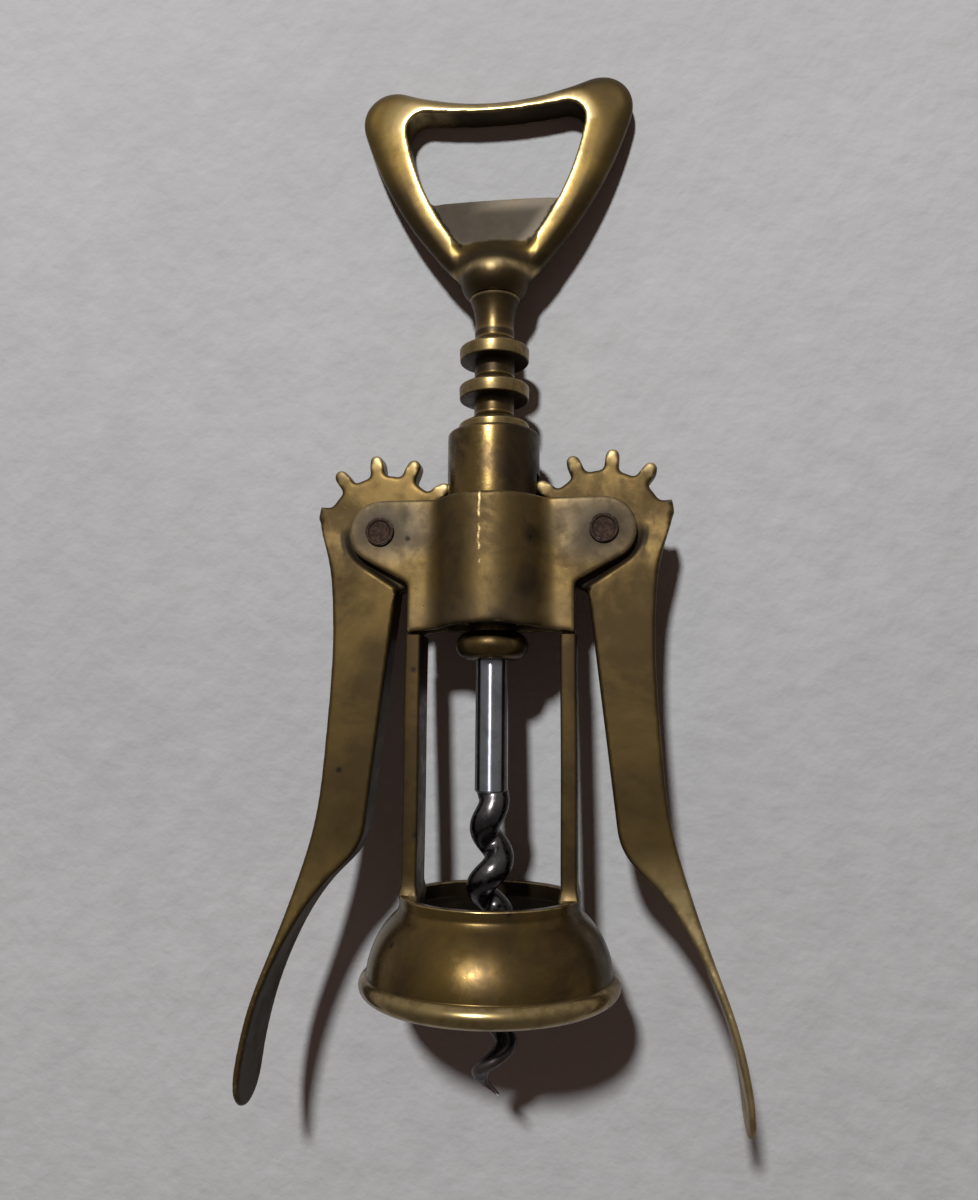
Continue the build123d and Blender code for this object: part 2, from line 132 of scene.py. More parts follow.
class PlateSizes(PropertyGroup):
    bottom: size("Bottom", "Height of a plate's lower edge", 57.45 * MM)
    top: size("Top", "Height of a plate's upper edge", 80.1 * MM)
    pivot_x: size("Pivot X", "Of the levers, from the worm's axis", 18.8 * MM)
    pivot_height: size("Pivot Height", "Of the levers", 74.65 * MM)
    blend: size("Blend", "Where the bulge runs out into the flat sides", 8.9 * MM)
    ear_radius: size("Ear Radius", "Round end of each ear, from the pivot", 5.45 * MM)


class LeverSizes(PropertyGroup):
    thickness: size("Thickness", "Of a lever's arm, front to back", 6.0 * MM)
    hub_thickness: size("Hub Thickness", "Of the toothed hub between the plates", 3.8 * MM)
    tooth_root: size("Tooth Root", "Radius where the teeth start", 10.4 * MM)
    ear_gap: size("Ear Gap", "Narrow gap between an ear and the thick arm", 0.35 * MM)


class CastSizes(PropertyGroup):
    grain: size("Mesh Size", "Spacing of the points on cast pieces", 0.3 * MM)
    rounds: IntProperty(name="Softening", description="Rounds of smoothing on cast pieces", default=9, min=0, max=40)


class Finishes(PropertyGroup):
    clean_brass: colour("Clean Brass", "Brass where hands rub it", (0.22, 0.142, 0.047))
    # The worn colour also paints highlights where the point values ask for them.
    worn_and_highlight_brass: colour("Worn Brass", "Brass on worn edges", (0.5, 0.37, 0.18))
    brown_brass: colour("Brown Brass", "Brass gone brown", (0.05, 0.031, 0.0125))
    bell_brass: colour("Bell Brass", "Clean brass of the bell", (0.2, 0.125, 0.034))
    leg_brass: colour("Leg Brass", "Clean brass of the legs", (0.16, 0.102, 0.034))
    leg_brown: colour("Leg Brown", "Brown brass of the legs", (0.042, 0.026, 0.01))
    handle_brass: colour("Handle Brass", "Clean brass of the handle", (0.2, 0.128, 0.036))
    handle_brown: colour("Handle Brown", "Brown brass of the handle", (0.045, 0.028, 0.011))
    lever_brass: colour("Lever Brass", "Clean brass of the levers", (0.15, 0.095, 0.03))
    lever_brown: colour("Lever Brown", "Brown brass of the levers", (0.045, 0.028, 0.01))
    # The dark colour also paints shade: inside the bell, under the rack's rings, on the far sides of the tube and the
    # handle, and under the ears.
    stain: colour("Stain", "Dark spots and grime", (0.017, 0.012, 0.009))
    crust: colour("Crust", "Grey brown film on the opener's web and the ears", (0.23, 0.19, 0.142))
    bright_steel: colour("Bright Steel", "Steel on worn edges", (0.62, 0.61, 0.62))
    shank_steel: colour("Shank Steel", "Plated shank", (0.33, 0.33, 0.36))
    dark_steel: colour("Dark Steel", "Wound wire", (0.095, 0.088, 0.09))
    rivet_steel: colour("Rivet Steel", "Rivets under their rust", (0.03, 0.019, 0.014))
    rust: colour("Rust", "On the rivets and the worm's point", (0.045, 0.024, 0.016))
    table: colour("Table", "Pale painted table", (0.44, 0.432, 0.432))


class StageSizes(PropertyGroup):
    table_width: size("Table Width", "Of the table that the corkscrew lies on", 1.4)
    lamp_distance: size("Lamp Distance", "From the corkscrew to the lamp", 1.25)
    lamp_width: size("Lamp Width", "Across the lamp", 0.11)
    lamp_power: FloatProperty(name="Lamp Power", description="In watts", default=16.7, min=0.0)
    room_light: amount("Room Light", "Warm dim light from all round", 0.085)
    room_grey: amount("Room Grey", "What metal shows of the room, and the background", 0.34)


# ---------------------------------------------------------------- shares


def fade(value, none, full):
    """A share that is 0 where a value is at none, 1 where it is at full, and even between them."""
    return np.clip((value - none) / (full - none), 0, 1)


def smooth(share):
    """The same share with both of its ends eased."""
    return share * share * (3 - 2 * share)


def strongest(*shares):
    """The largest of several shares at each point."""
    return np.maximum.reduce(shares)


# ---------------------------------------------------------------- mesh helpers


def bowed(start, end, bow, steps):
    """Points of an arc from start to end that bows out by a distance, to the left of its run."""
    a, b = Vector(start), Vector(end)
    chord = b - a
    side = Vector((-chord.y, chord.x)).normalized()
    half = chord.length / 2
    radius = (half * half + bow * bow) / (2 * bow)
    centre = (a + b) / 2 + side * (bow - radius)
    sweep = math.asin(max(-1.0, min(1.0, half / radius)))
    points = []
    for step in range(steps + 1):
        turn = sweep * (1 - 2 * step / steps)
        along = -chord.normalized() * radius * math.sin(turn) + side * radius * math.cos(turn)
        points.append((*(centre + along), 0.0))
    return points


def eased(corners, closed, steps):
    """A line whose corners (radius, height, rounding) are rounded by short arcs."""
    line = []
    for index, (*corner, rounding) in enumerate(corners):
        here = Vector(corner)
        if rounding <= 0 or (not closed and index in (0, len(corners) - 1)):
            line.append(tuple(here))
            continue
        before = Vector(corners[index - 1][:2]) - here
        after = Vector(corners[(index + 1) % len(corners)][:2]) - here
        turn = before.angle(after) / 2
        reach = min(rounding / math.tan(turn), before.length * 0.48, after.length * 0.48)
        first = here + before.normalized() * reach
        last = here + after.normalized() * reach
        for step in range(steps + 1):
            share = step / steps
            line.append(tuple(first * (1 - share) ** 2 + here * 2 * share * (1 - share) + last * share**2))
    return line


def skinned(name, rings, closed):
    """A mesh with faces from each ring of points to the next, and over the two ends if it isn't closed."""
    shape = bmesh.new()
    rings = [[shape.verts.new(spot) for spot in ring] for ring in rings]
    pairs = list(zip(rings, rings[1:])) + ([(rings[-1], rings[0])] if closed else [])
    for low, high in pairs:
        for k in range(max(len(low), len(high))):
            n = k + 1
            corners = [low[k % len(low)], low[n % len(low)], high[n % len(high)], high[k % len(high)]]
            unique = list(dict.fromkeys(corners))
            if len(unique) > 2:
                shape.faces.new(unique)
    if not closed:
        for end in (rings[0], rings[-1]):
            if len(end) > 2:
                shape.faces.new(end)
    bmesh.ops.recalc_face_normals(shape, faces=shape.faces)
    mesh = bpy.data.meshes.new(name)
    shape.to_mesh(mesh)
    shape.free()
    return mesh


def new_piece(name, mesh):
    """An object at the origin that shows a mesh."""
    piece = bpy.data.objects.new(name, mesh)
    mesh.name = name
    bpy.context.scene.collection.objects.link(piece)
    return piece


def turned(name, line, closed=True, steps=96, arc=5):
    """A lathe piece about the worm's axis from a line of (radius, height, rounding)."""
    turns = [2 * math.pi * k / steps for k in range(steps)]
    rings = []
    for radius, height in eased(line, closed, arc):
        spots = [(radius * math.cos(turn), radius * math.sin(turn), height) for turn in turns]
        on_axis = radius < 1e-7
        rings.append([(0, 0, height)] if on_axis else spots)
    return new_piece(name, skinned(name, rings, closed))


def settle(piece):
    """Turns the piece's modifiers into a plain mesh."""
    seen = piece.evaluated_get(bpy.context.evaluated_depsgraph_get())
    mesh = bpy.data.meshes.new_from_object(seen)
    mesh.name = piece.name
    piece.modifiers.clear()
    piece.data = mesh


def shade(piece, angle=None):
    """Smooth shading, with creases kept above an angle in degrees."""
    piece.data.shade_smooth()
    if angle is not None:
        piece.data.set_sharp_from_angle(angle=math.radians(angle))


def point_values(mesh, attribute, values):
    """Keeps one number for each point of a mesh."""
    layer = mesh.attributes.get(attribute) or mesh.attributes.new(attribute, "FLOAT", "POINT")
    layer.data.foreach_set("value", np.asarray(values, np.float32))


def rows(points, key):
    """What a mesh says of each point, as rows of x, y, z."""
    flat = np.empty(len(points) * 3, np.float32)
    points.foreach_get(key, flat)
    return flat.reshape(-1, 3).astype(float)


def places(mesh):
    """The points of a mesh."""
    return rows(mesh.vertices, "co")


def normals(mesh):
    """The outward direction at each point."""
    return rows(mesh.vertex_normals, "vector")


def move_points(mesh, place):
    """Puts the points of a mesh at new places."""
    mesh.vertices.foreach_set("co", place.astype(np.float32).ravel())
    mesh.update()


def neighbours(mesh):
    """Both ends of every edge, each way round, and how many edges meet at each point."""
    ends = np.empty(len(mesh.edges) * 2, np.int32)
    mesh.edges.foreach_get("vertices", ends)
    ends = ends.reshape(-1, 2)
    one = np.concatenate([ends[:, 0], ends[:, 1]])
    other = np.concatenate([ends[:, 1], ends[:, 0]])
    count = np.maximum(np.bincount(one, minlength=len(mesh.vertices)), 1)
    return one, other, count


def soften(mesh, share, rounds):
    """Smooths a mesh where the share of each point is above none."""
    place = places(mesh)
    one, other, count = neighbours(mesh)
    for _ in range(rounds):
        for axis in range(3):
            mean = np.bincount(one, place[other, axis], len(place)) / count
            place[:, axis] += 0.5 * share * (mean - place[:, axis])
    move_points(mesh, place)


def spread(mesh, values, rounds):
    """Evens a value out over the neighbouring points."""
    one, other, count = neighbours(mesh)
    for _ in range(rounds):
        values = 0.5 * values + 0.5 * np.bincount(one, values[other], len(values)) / count
    return values


def mark_bends(piece, sharp, rounds):
    """Marks outer edges as 'edge' and hollows as 'hollow', both from 0 to 1, for wear and for grime with painted
    shade.
    """
    mesh = piece.data
    place, normal = places(mesh), normals(mesh)
    one, other, count = neighbours(mesh)
    gap = place[one] - place[other]
    bend = 2 * (normal[one] * gap).sum(1) / np.maximum((gap**2).sum(1), 1e-12)
    bend = spread(mesh, np.bincount(one, bend, len(place)) / count * sharp, rounds)
    point_values(mesh, "edge", np.clip(bend, 0, 1))
    point_values(mesh, "hollow", np.clip(-bend, 0, 1))


def finish_piece(piece, body, nodes, slot, material, **marks):
    """Puts a piece in its CAD nodes' place, with its finish and the marks that the finish reads."""
    for attribute, values in marks.items():
        point_values(piece.data, attribute, values)
    piece.data.materials.clear()
    piece.data.materials.append(material)
    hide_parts(*nodes)
    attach(piece, body)


def cast_copy(name, source, sizes):
    """A cast piece: the CAD node's shape with its edges and joins softened as in a sand casting."""
    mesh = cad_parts[source].data.copy()
    shape = bmesh.new()
    shape.from_mesh(mesh)
    bmesh.ops.remove_doubles(shape, verts=shape.verts, dist=0.002 * MM)
    shape.to_mesh(mesh)
    shape.free()
    for layer in ("custom_normal", "sharp_face", "sharp_edge"):
        if mesh.attributes.get(layer):
            mesh.attributes.remove(mesh.attributes[layer])
    piece = new_piece(name, mesh)
    grain = piece.modifiers.new("grain", "REMESH")
    grain.mode, grain.voxel_size = "VOXEL", sizes.grain
    melt = piece.modifiers.new("soften", "SMOOTH")
    melt.factor, melt.iterations = 0.5, sizes.rounds
    settle(piece)
    shade(piece)
    return piece


# ---------------------------------------------------------------- node helpers


class Wire:
    """The output of a node, which can be used in sums like a number."""

    def __init__(self, socket):
        self.socket = socket
        self.tree = socket.id_data

    def maths(self, operation, first, second=0.0):
        made = node(self.tree, "ShaderNodeMath", {0: first, 1: second}, operation=operation)
        return Wire(made.outputs["Value"])

    def __add__(self, other):
        return self.maths("ADD", self, other)

    def __sub__(self, other):
        return self.maths("SUBTRACT", self, other)

    def __rsub__(self, other):
        return self.maths("SUBTRACT", other, self)

    def __mul__(self, other):
        return self.maths("MULTIPLY", self, other)

    def __abs__(self):
        return self.maths("ABSOLUTE", self)

    def or_more(self, other):
        """The larger of this output and another."""
        return self.maths("MAXIMUM", self, other)


def feed(target, value):
    """Sets an input to a value, or links it to a wire, a socket or the first output of a node."""
    if isinstance(value, Wire):
        value = value.socket
    if isinstance(value, bpy.types.Node):
        value = value.outputs[0]
    if isinstance(value, bpy.types.NodeSocket):
        target.id_data.links.new(value, target)
    else:
        target.default_value = value


def node(tree, kind, inputs=None, **settings):
    """A node with its settings, its inputs fed by name or number."""
    made = tree.nodes.new(kind)
    for key, value in settings.items():
        setattr(made, key, value)
    for key, value in (inputs or {}).items():
        feed(made.inputs[key], value)
    return made


def wires(made):
    """The outputs of a node by name."""
    return {socket.name: Wire(socket) for socket in made.outputs}


def title(key):
    """The name of an input as it stands in the node editor."""
    return key.replace("_", " ").title()


def noise(place, scale, detail=4.0, roughness=0.5, distortion=0.0):
    """A cloudy value from 0 to 1."""
    inputs = {"Vector": place, "Scale": scale, "Detail": detail, "Roughness": roughness, "Distortion": distortion}
    return Wire(node(place.tree, "ShaderNodeTexNoise", inputs).outputs["Fac"])


def ramp(value, low, high, start=0.0, end=1.0):
    """Maps a value from low and high to start and end, eased and clamped."""
    inputs = {"Value": value, "From Min": low, "From Max": high, "To Min": start, "To Max": end}
    made = node(value.tree, "ShaderNodeMapRange", inputs, interpolation_type="SMOOTHSTEP", clamp=True)
    return Wire(made.outputs["Result"])


def mix(share, first, second):
    """Mixes two colours by a share."""
    first, second = (value if isinstance(value, Wire) else (*value, 1.0) for value in (first, second))
    made = node(share.tree, "ShaderNodeMix", {"Factor": share, 6: first, 7: second},
                data_type="RGBA", clamp_factor=True)
    return Wire(made.outputs[2])


def mapped(place, **inputs):
    """A place that is turned or stretched."""
    inputs = {title(key): value for key, value in inputs.items()}
    return Wire(node(place.tree, "ShaderNodeMapping", {"Vector": place, **inputs}).outputs["Vector"])


def marked(tree, attribute):
    """A value that was kept for each point of the mesh."""
    return Wire(node(tree, "ShaderNodeAttribute", attribute_name=attribute).outputs["Fac"])


def bump(shader, height, distance, strength):
    """Raises a material's surface by a height."""
    made = node(height.tree, "ShaderNodeBump", {"Height": height, "Distance": distance, "Strength": strength})
    feed(shader.inputs["Normal"], made.outputs["Normal"])


# ---------------------------------------------------------------- shared effects


def effect(name, outputs, **numbers):
    """An empty shader node group that takes a place and some numbers and gives some values."""
    tree = bpy.data.node_groups.new(name, "ShaderNodeTree")
    tree.interface.new_socket("Place", in_out="INPUT", socket_type="NodeSocketVector")
    for key, value in numbers.items():
        tree.interface.new_socket(title(key), in_out="INPUT", socket_type="NodeSocketFloat").default_value = value
    for label in outputs:
        tree.interface.new_socket(label, in_out="OUTPUT", socket_type="NodeSocketFloat")
    return wires(node(tree, "NodeGroupInput")), node(tree, "NodeGroupOutput").inputs


def tarnish_effect(name):
    """Cloudy brown patches, a finer mottle and small dark specks."""
    outputs = ("Patches", "Mottle", "Specks")
    given, out = effect(name, outputs, patch_scale=120.0, speck_scale=520.0, speck_share=0.3)
    patches = noise(given["Place"], given["Patch Scale"], 5.0, 0.62, 0.6)
    feed(out["Patches"], ramp(patches, 0.34, 0.68))
    fine = noise(given["Place"], given["Patch Scale"] * 5.5, 4.0, 0.6, 0.2)
    feed(out["Mottle"], ramp(fine, 0.3, 0.72))
    spots = wires(node(given["Place"].tree, "ShaderNodeTexVoronoi",
                       {"Vector": given["Place"], "Scale": given["Speck Scale"]}, feature="F1"))
    cells = noise(spots["Position"], 900.0, 0.0)
    picked = ramp(cells, 0.78 - given["Speck Share"], 0.8)
    feed(out["Specks"], ramp(spots["Distance"], 0.42, 0.1) * picked)


def wear_effect(name):
    """Bare metal on outer edges, and grime with painted shade in hollows, broken up by a fine noise."""
    given, out = effect(name, ("Bare", "Grime"), reach=0.35)
    tree = given["Place"].tree
    jitter = ramp(noise(given["Place"], 650.0, 4.0, 0.6), 0.3, 0.7, -0.18, 0.18)
    feed(out["Bare"], ramp(marked(tree, "edge") + jitter, given["Reach"], given["Reach"] + 0.4))
    feed(out["Grime"], ramp(marked(tree, "hollow") + jitter, 0.12, 0.6))


def cast_effect(name):
    """The low waves and fine pits of a cast and filed surface."""
    given, out = effect(name, ("Height",), wave_scale=240.0, pit_share=0.5)
    waves = noise(given["Place"], given["Wave Scale"], 2.0, 0.4)
    grain = noise(given["Place"], 2600.0, 3.0, 0.55)
    pits = ramp(noise(given["Place"], 1300.0, 2.0, 0.5), 0.68, 0.8) * given["Pit Share"]
    feed(out["Height"], waves + grain * 0.12 - pits * 0.5)


def scratch_effect(name):
    """Fine scratches in two directions, as a mask."""
    given, out = effect(name, ("Lines",), share=0.5)
    masks = []
    for turn, stretch in (((0.2, 0.35, 0.5), (1.0, 1.0, 0.05)), ((0.9, -0.6, 0.3), (0.04, 1.0, 1.0))):
        streak = noise(mapped(given["Place"], rotation=turn, scale=stretch), 2400.0, 1.0, 0.4)
        thin = ramp(abs(streak - 0.5), 0.009, 0.001)
        masks.append(thin * ramp(noise(given["Place"], 210.0, 2.0), 0.56, 0.72))
    feed(out["Lines"], masks[0].or_more(masks[1]) * given["Share"])


def lathe_effect(name):
    """Rings left by the turning tool, round the worm's axis."""
    given, out = effect(name, ("Height",), line_scale=3200.0)
    squeezed = mapped(given["Place"], scale=(0.02, 0.02, 1.0))
    feed(out["Height"], noise(squeezed, given["Line Scale"], 3.0, 0.6))


EFFECTS = {
    "Tarnish": tarnish_effect,
    "Edge Wear": wear_effect,
    "Cast Skin": cast_effect,
    "Scratches": scratch_effect,
    "Turning Lines": lathe_effect,
}


def placed(name, place, **values):
    """Puts a shared effect in a material with its own values. It is built when it is first asked for."""
    if name not in bpy.data.node_groups:
        EFFECTS[name](name)
    inputs = {"Place": place, **{title(key): value for key, value in values.items()}}
    return wires(node(place.tree, "ShaderNodeGroup", inputs, node_tree=bpy.data.node_groups[name]))


# ---------------------------------------------------------------- finishes


def blank_finish(name):
    """A material with its shader, ready for a finish, and the place of each point."""
    material = bpy.data.materials.new(name)
    material.use_nodes = True
    tree = material.node_tree
    return material, tree.nodes["Principled BSDF"], Wire(node(tree, "ShaderNodeTexCoord").outputs["Object"])


def long_scratch(place, x, low, high):
    """One long upright scratch that wanders a little and breaks up, between two heights in mm."""
    parts = wires(node(place.tree, "ShaderNodeSeparateXYZ", {"Vector": place}))
    drift = noise(parts["Z"], 260.0, 2.0, 0.6) * (1.3 * MM)
    line = ramp(abs(parts["X"] - (x - 0.65) * MM - drift), 0.26 * MM, 0.04 * MM)
    broken = ramp(noise(place, 420.0, 3.0, 0.6), 0.42, 0.6)
    upper = ramp(parts["Z"], high * MM, (high - 1.0) * MM)
    lower = ramp(parts["Z"], low * MM, (low + 3.0) * MM)
    return line * broken * (upper * lower)


def aged_brass(name, clean, rough, patch, bare, specks, cast, metal, scratches=0.12, lathe=0.0, stain=0.8,
               rubbed=0.3, nick=None, tint="clean_brass", brown="brown_brass"):
    """Old brass: brown patches over a cleaner ground, bare edges, grime and painted shade in hollows, specks and
    scratches, with painted shade and painted highlights where the point values ask for them.
    """
    finish = bpy.context.scene.corkscrew_finishes
    material, shader, place = blank_finish(name)
    tarnish = placed("Tarnish", place, patch_scale=patch, speck_share=specks)
    wear = placed("Edge Wear", place, reach=bare)
    lines = placed("Scratches", place, share=scratches)["Lines"]
    mottle = tarnish["Mottle"]

    share = tarnish["Patches"] * 0.5 + (0.75 - clean) + mottle * 0.14
    # Dark covers specks, grime with painted shade in hollows, and the marked points: painted shade on the bell, tube,
    # rack, handle and levers, rust on the rivets and the worm's point, darker spots on the plates and the legs' feet.
    dark = tarnish["Specks"].or_more(wear["Grime"] * stain).or_more(marked(place.tree, "stain") * 0.85)
    crust = marked(place.tree, "crust") * ramp(mottle, 0.9, 0.1, 0.7, 1.0)
    # Polish marks are painted highlights, some on rubbed places: along the handle's opening, on the rack's rims and
    # upward faces, on the teeth and on the bell's bead.
    polish = marked(place.tree, "polish") * ramp(mottle, 0.9, 0.2, 0.5, 1.0)
    # Worn covers bare edges, scratches and the painted highlights.
    worn = (wear["Bare"].or_more(lines) * rubbed).or_more(polish)
    if nick:
        worn = worn.or_more(long_scratch(place, *nick))
    ground = mix(share, getattr(finish, tint), getattr(finish, brown))
    for cover, paint in ((crust, finish.crust), (dark, finish.stain), (worn, finish.worn_and_highlight_brass)):
        ground = mix(cover, ground, paint)
    feed(shader.inputs["Base Color"], ground)
    solid = ramp(share.or_more(dark) - worn, 0.0, 1.0, metal[1], metal[0])
    feed(shader.inputs["Metallic"], solid * ramp(crust, 0.0, 1.0, 1.0, 0.25))
    gloss = ramp(mottle + tarnish["Patches"], 0.4, 1.6, *rough)
    feed(shader.inputs["Roughness"], gloss + dark * 0.15 + crust * 0.5 - worn * 0.03)
    shader.inputs["Specular IOR Level"].default_value = 0.25

    height = placed("Cast Skin", place)["Height"] * cast - lines * 0.25
    if lathe > 0:
        height = height + placed("Turning Lines", place)["Height"] * lathe
    bump(shader, height, 0.06 * MM, 0.9)
    return material


def steel(name, base, rough, rust, lathe, brushed=0.0):
    """Plated or dark steel with faint rings, and rust where the point values say so."""
    finish = bpy.context.scene.corkscrew_finishes
    material, shader, place = blank_finish(name)
    tarnish = placed("Tarnish", place, patch_scale=260.0, speck_scale=900.0, speck_share=0.08)
    wear = placed("Edge Wear", place, reach=0.7)
    mottle = tarnish["Mottle"]

    rusty = (mottle * rust).or_more(marked(place.tree, "stain") * 0.95).or_more(tarnish["Specks"] * 0.4)
    ground = mix(tarnish["Patches"], getattr(finish, base), [0.7 * c for c in getattr(finish, base)])
    ground = mix(wear["Bare"] * 0.4, mix(rusty, ground, finish.rust), finish.bright_steel)
    feed(shader.inputs["Base Color"], ground)
    feed(shader.inputs["Metallic"], ramp(rusty, 0.2, 0.9, 1.0, 0.55))
    feed(shader.inputs["Roughness"], ramp(mottle, 0.2, 0.9, *rough) + rusty * 0.3)
    if brushed > 0:
        round_axis = node(place.tree, "ShaderNodeTangent", direction_type="RADIAL", axis="Z")
        feed(shader.inputs["Tangent"], round_axis)
        shader.inputs["Anisotropic"].default_value = brushed
        shader.inputs["Anisotropic Rotation"].default_value = 0.25
    lines = placed("Scratches", place, share=0.1)["Lines"]
    rings = placed("Turning Lines", place)["Height"]
    bump(shader, rings * lathe + mottle * 0.04 - lines * 0.3, 0.04 * MM, 0.8)
    return material


# ---------------------------------------------------------------- geometry nodes


def recipe(name, result, **inputs):
    """An empty geometry node tree with named inputs and one named result."""
    tree = bpy.data.node_groups.new(name, "GeometryNodeTree")
    for label, kind in inputs.items():
        tree.interface.new_socket(label, in_out="INPUT", socket_type=f"NodeSocket{kind}")
    tree.interface.new_socket(result, in_out="OUTPUT", socket_type="NodeSocketGeometry")
    return tree, wires(node(tree, "NodeGroupInput"))


def close(tree, shape, finish):
    """Ends a tree: makes its copies real, gives them their finish and hands them out."""
    real = node(tree, "GeometryNodeRealizeInstances", {"Geometry": shape})
    paint = node(tree, "GeometryNodeSetMaterial", {"Geometry": real, "Material": finish})
    node(tree, "NodeGroupOutput", {0: paint})
    return tree


def kept(tree, name, kind):
    """A value that was kept for each point, for geometry nodes."""
    made = node(tree, "GeometryNodeInputNamedAttribute", {"Name": name}, data_type=kind)
    return Wire(made.outputs["Attribute"])


def ring_tree():
    """Sets one ring at each pitch along the rack, and adds the rack's core."""
    sockets = {"Ring": "Geometry", "Core": "Object", "Rings": "Int", "Pitch": "Float", "Finish": "Material"}
    tree, given = recipe("Rack Rings", "Rack", **sockets)
    down = node(tree, "ShaderNodeCombineXYZ", {"Z": given["Pitch"] * -1.0})
    stations = node(tree, "GeometryNodeMeshLine", {"Count": given["Rings"], "Offset": down}, mode="OFFSET")
    rings = node(tree, "GeometryNodeInstanceOnPoints", {"Points": stations, "Instance": given["Ring"]})
    core = node(tree, "GeometryNodeObjectInfo", {"Object": given["Core"]}, transform_space="ORIGINAL")
    both = node(tree, "GeometryNodeJoinGeometry", {"Geometry": rings})
    feed(both.inputs["Geometry"], core.outputs["Geometry"])
    return close(tree, both, given["Finish"])


def worm_tree():
    """Sweeps a round wire along the winding and thins it to a blade lower down."""
    tree, given = recipe("Worm Sweep", "Worm", Winding="Geometry", Sides="Int", Blade="Float", Finish="Material")
    line = node(tree, "GeometryNodeMeshToCurve", {"Mesh": given["Winding"]})
    here = node(tree, "GeometryNodeInputPosition")
    centre = node(tree, "GeometryNodeStoreNamedAttribute", {"Geometry": line, "Name": "centre", "Value": here},
                  data_type="FLOAT_VECTOR", domain="POINT")
    outline = node(tree, "GeometryNodeCurvePrimitiveCircle", {"Radius": 1.0, "Resolution": given["Sides"]})
    inputs = {"Curve": centre, "Profile Curve": outline, "Scale": kept(tree, "wire", "FLOAT"), "Fill Caps": True}
    sweep = node(tree, "GeometryNodeCurveToMesh", inputs)
    middle = kept(tree, "centre", "FLOAT_VECTOR")
    inwards = node(tree, "ShaderNodeVectorMath", {0: middle, 1: here}, operation="SUBTRACT")
    lift = wires(node(tree, "ShaderNodeSeparateXYZ", {"Vector": inwards}))["Z"]
    squeeze = node(tree, "ShaderNodeCombineXYZ", {"Z": lift * (kept(tree, "flat", "FLOAT") * given["Blade"])})
    blade = node(tree, "GeometryNodeSetPosition", {"Geometry": sweep, "Offset": squeeze})
    return close(tree, blade, given["Finish"])


def rivet_tree():
    """Sets a rivet head at every station, turned to face outwards."""
    tree, given = recipe("Rivet Heads", "Rivets", Stations="Geometry", Head="Object", Finish="Material")
    head = node(tree, "GeometryNodeObjectInfo", {"Object": given["Head"]}, transform_space="ORIGINAL")
    inputs = {"Points": given["Stations"], "Instance": head.outputs["Geometry"],
              "Rotation": kept(tree, "turn", "FLOAT_VECTOR")}
    return close(tree, node(tree, "GeometryNodeInstanceOnPoints", inputs), given["Finish"])


def run_tree(piece, tree, **values):
    """Runs geometry nodes on a piece with the named inputs, and keeps the plain mesh."""
    work = piece.modifiers.new(tree.name, "NODES")
    work.node_group = tree
    keys = {item.name: item.identifier for item in tree.interface.items_tree if item.in_out == "INPUT"}
    for label, value in values.items():
        work[keys[title(label)]] = value
    settle(piece)


# ---------------------------------------------------------------- pieces


class CORKSCREW_OT_bell(Operator):
    """Turns the open bell with its half-round bead and thin neck"""

    bl_idname = "corkscrew.bell"
    bl_label = "Bell"

    def execute(self, context):
        s = context.scene.corkscrew_bell
        dome = s.rim_radius - 1.1 * MM
        seat = dome - 1.5 * MM
        shoulder = s.height - s.neck_height
        step = s.neck_radius + 0.5 * MM
        inside = s.neck_radius - s.wall
        crease = (dome - 0.1 * MM, s.bead_height + 0.2 * MM)
        side = bowed(crease, (step, shoulder - 0.35 * MM), -0.95 * MM, 18)
        side[0] = (*side[0][:2], 0.25 * MM)
        line = [(seat, 0.0, 0.3 * MM), (dome - 0.2 * MM, 0.0, 0.3 * MM)]
        line += bowed((dome, 0.15 * MM), (dome, s.bead_height), -1.05 * MM, 14) + side
        line += [(s.neck_radius, shoulder + 0.55 * MM, 1.1 * MM), (s.neck_radius, s.height, 0.3 * MM)]
        line += [(inside, s.height, 0.35 * MM), (inside, shoulder - 0.3 * MM, 1.0 * MM)]
        line += bowed((inside + 0.6 * MM, shoulder - 0.8 * MM), (seat, s.bead_height), 0.9 * MM, 14)
        bell = turned("brass_bell", line, steps=160)
        shade(bell)
        mark_bends(bell, 0.7 * MM, 2)
        place, normal = places(bell.data), normals(bell.data)
        # Painted shade inside the bell and on its underside; the bead is made brighter as a painted highlight, partly
        # a rubbed rim.
        inner = ((place[:, :2] * normal[:, :2]).sum(1) < -0.3 * MM) | (place[:, 2] < 0.1 * MM)
        bead = (place[:, 2] < s.bead_height) & ~inner
        material = aged_brass(
            "Brown bell brass", clean=0.34, rough=(0.24, 0.38), patch=70.0, bare=0.6, specks=0.08, lathe=0.03,
            scratches=0.08, cast=0.4, stain=0.3, metal=(0.85, 0.98), rubbed=0.5, tint="bell_brass"
        )
        finish_piece(bell, "stand", ["bell"], "brass_bell", material,
                     stain=spread(bell.data, np.where(inner, 1.0, 0.0), 1), polish=0.5 * bead)
        return {"FINISHED"}


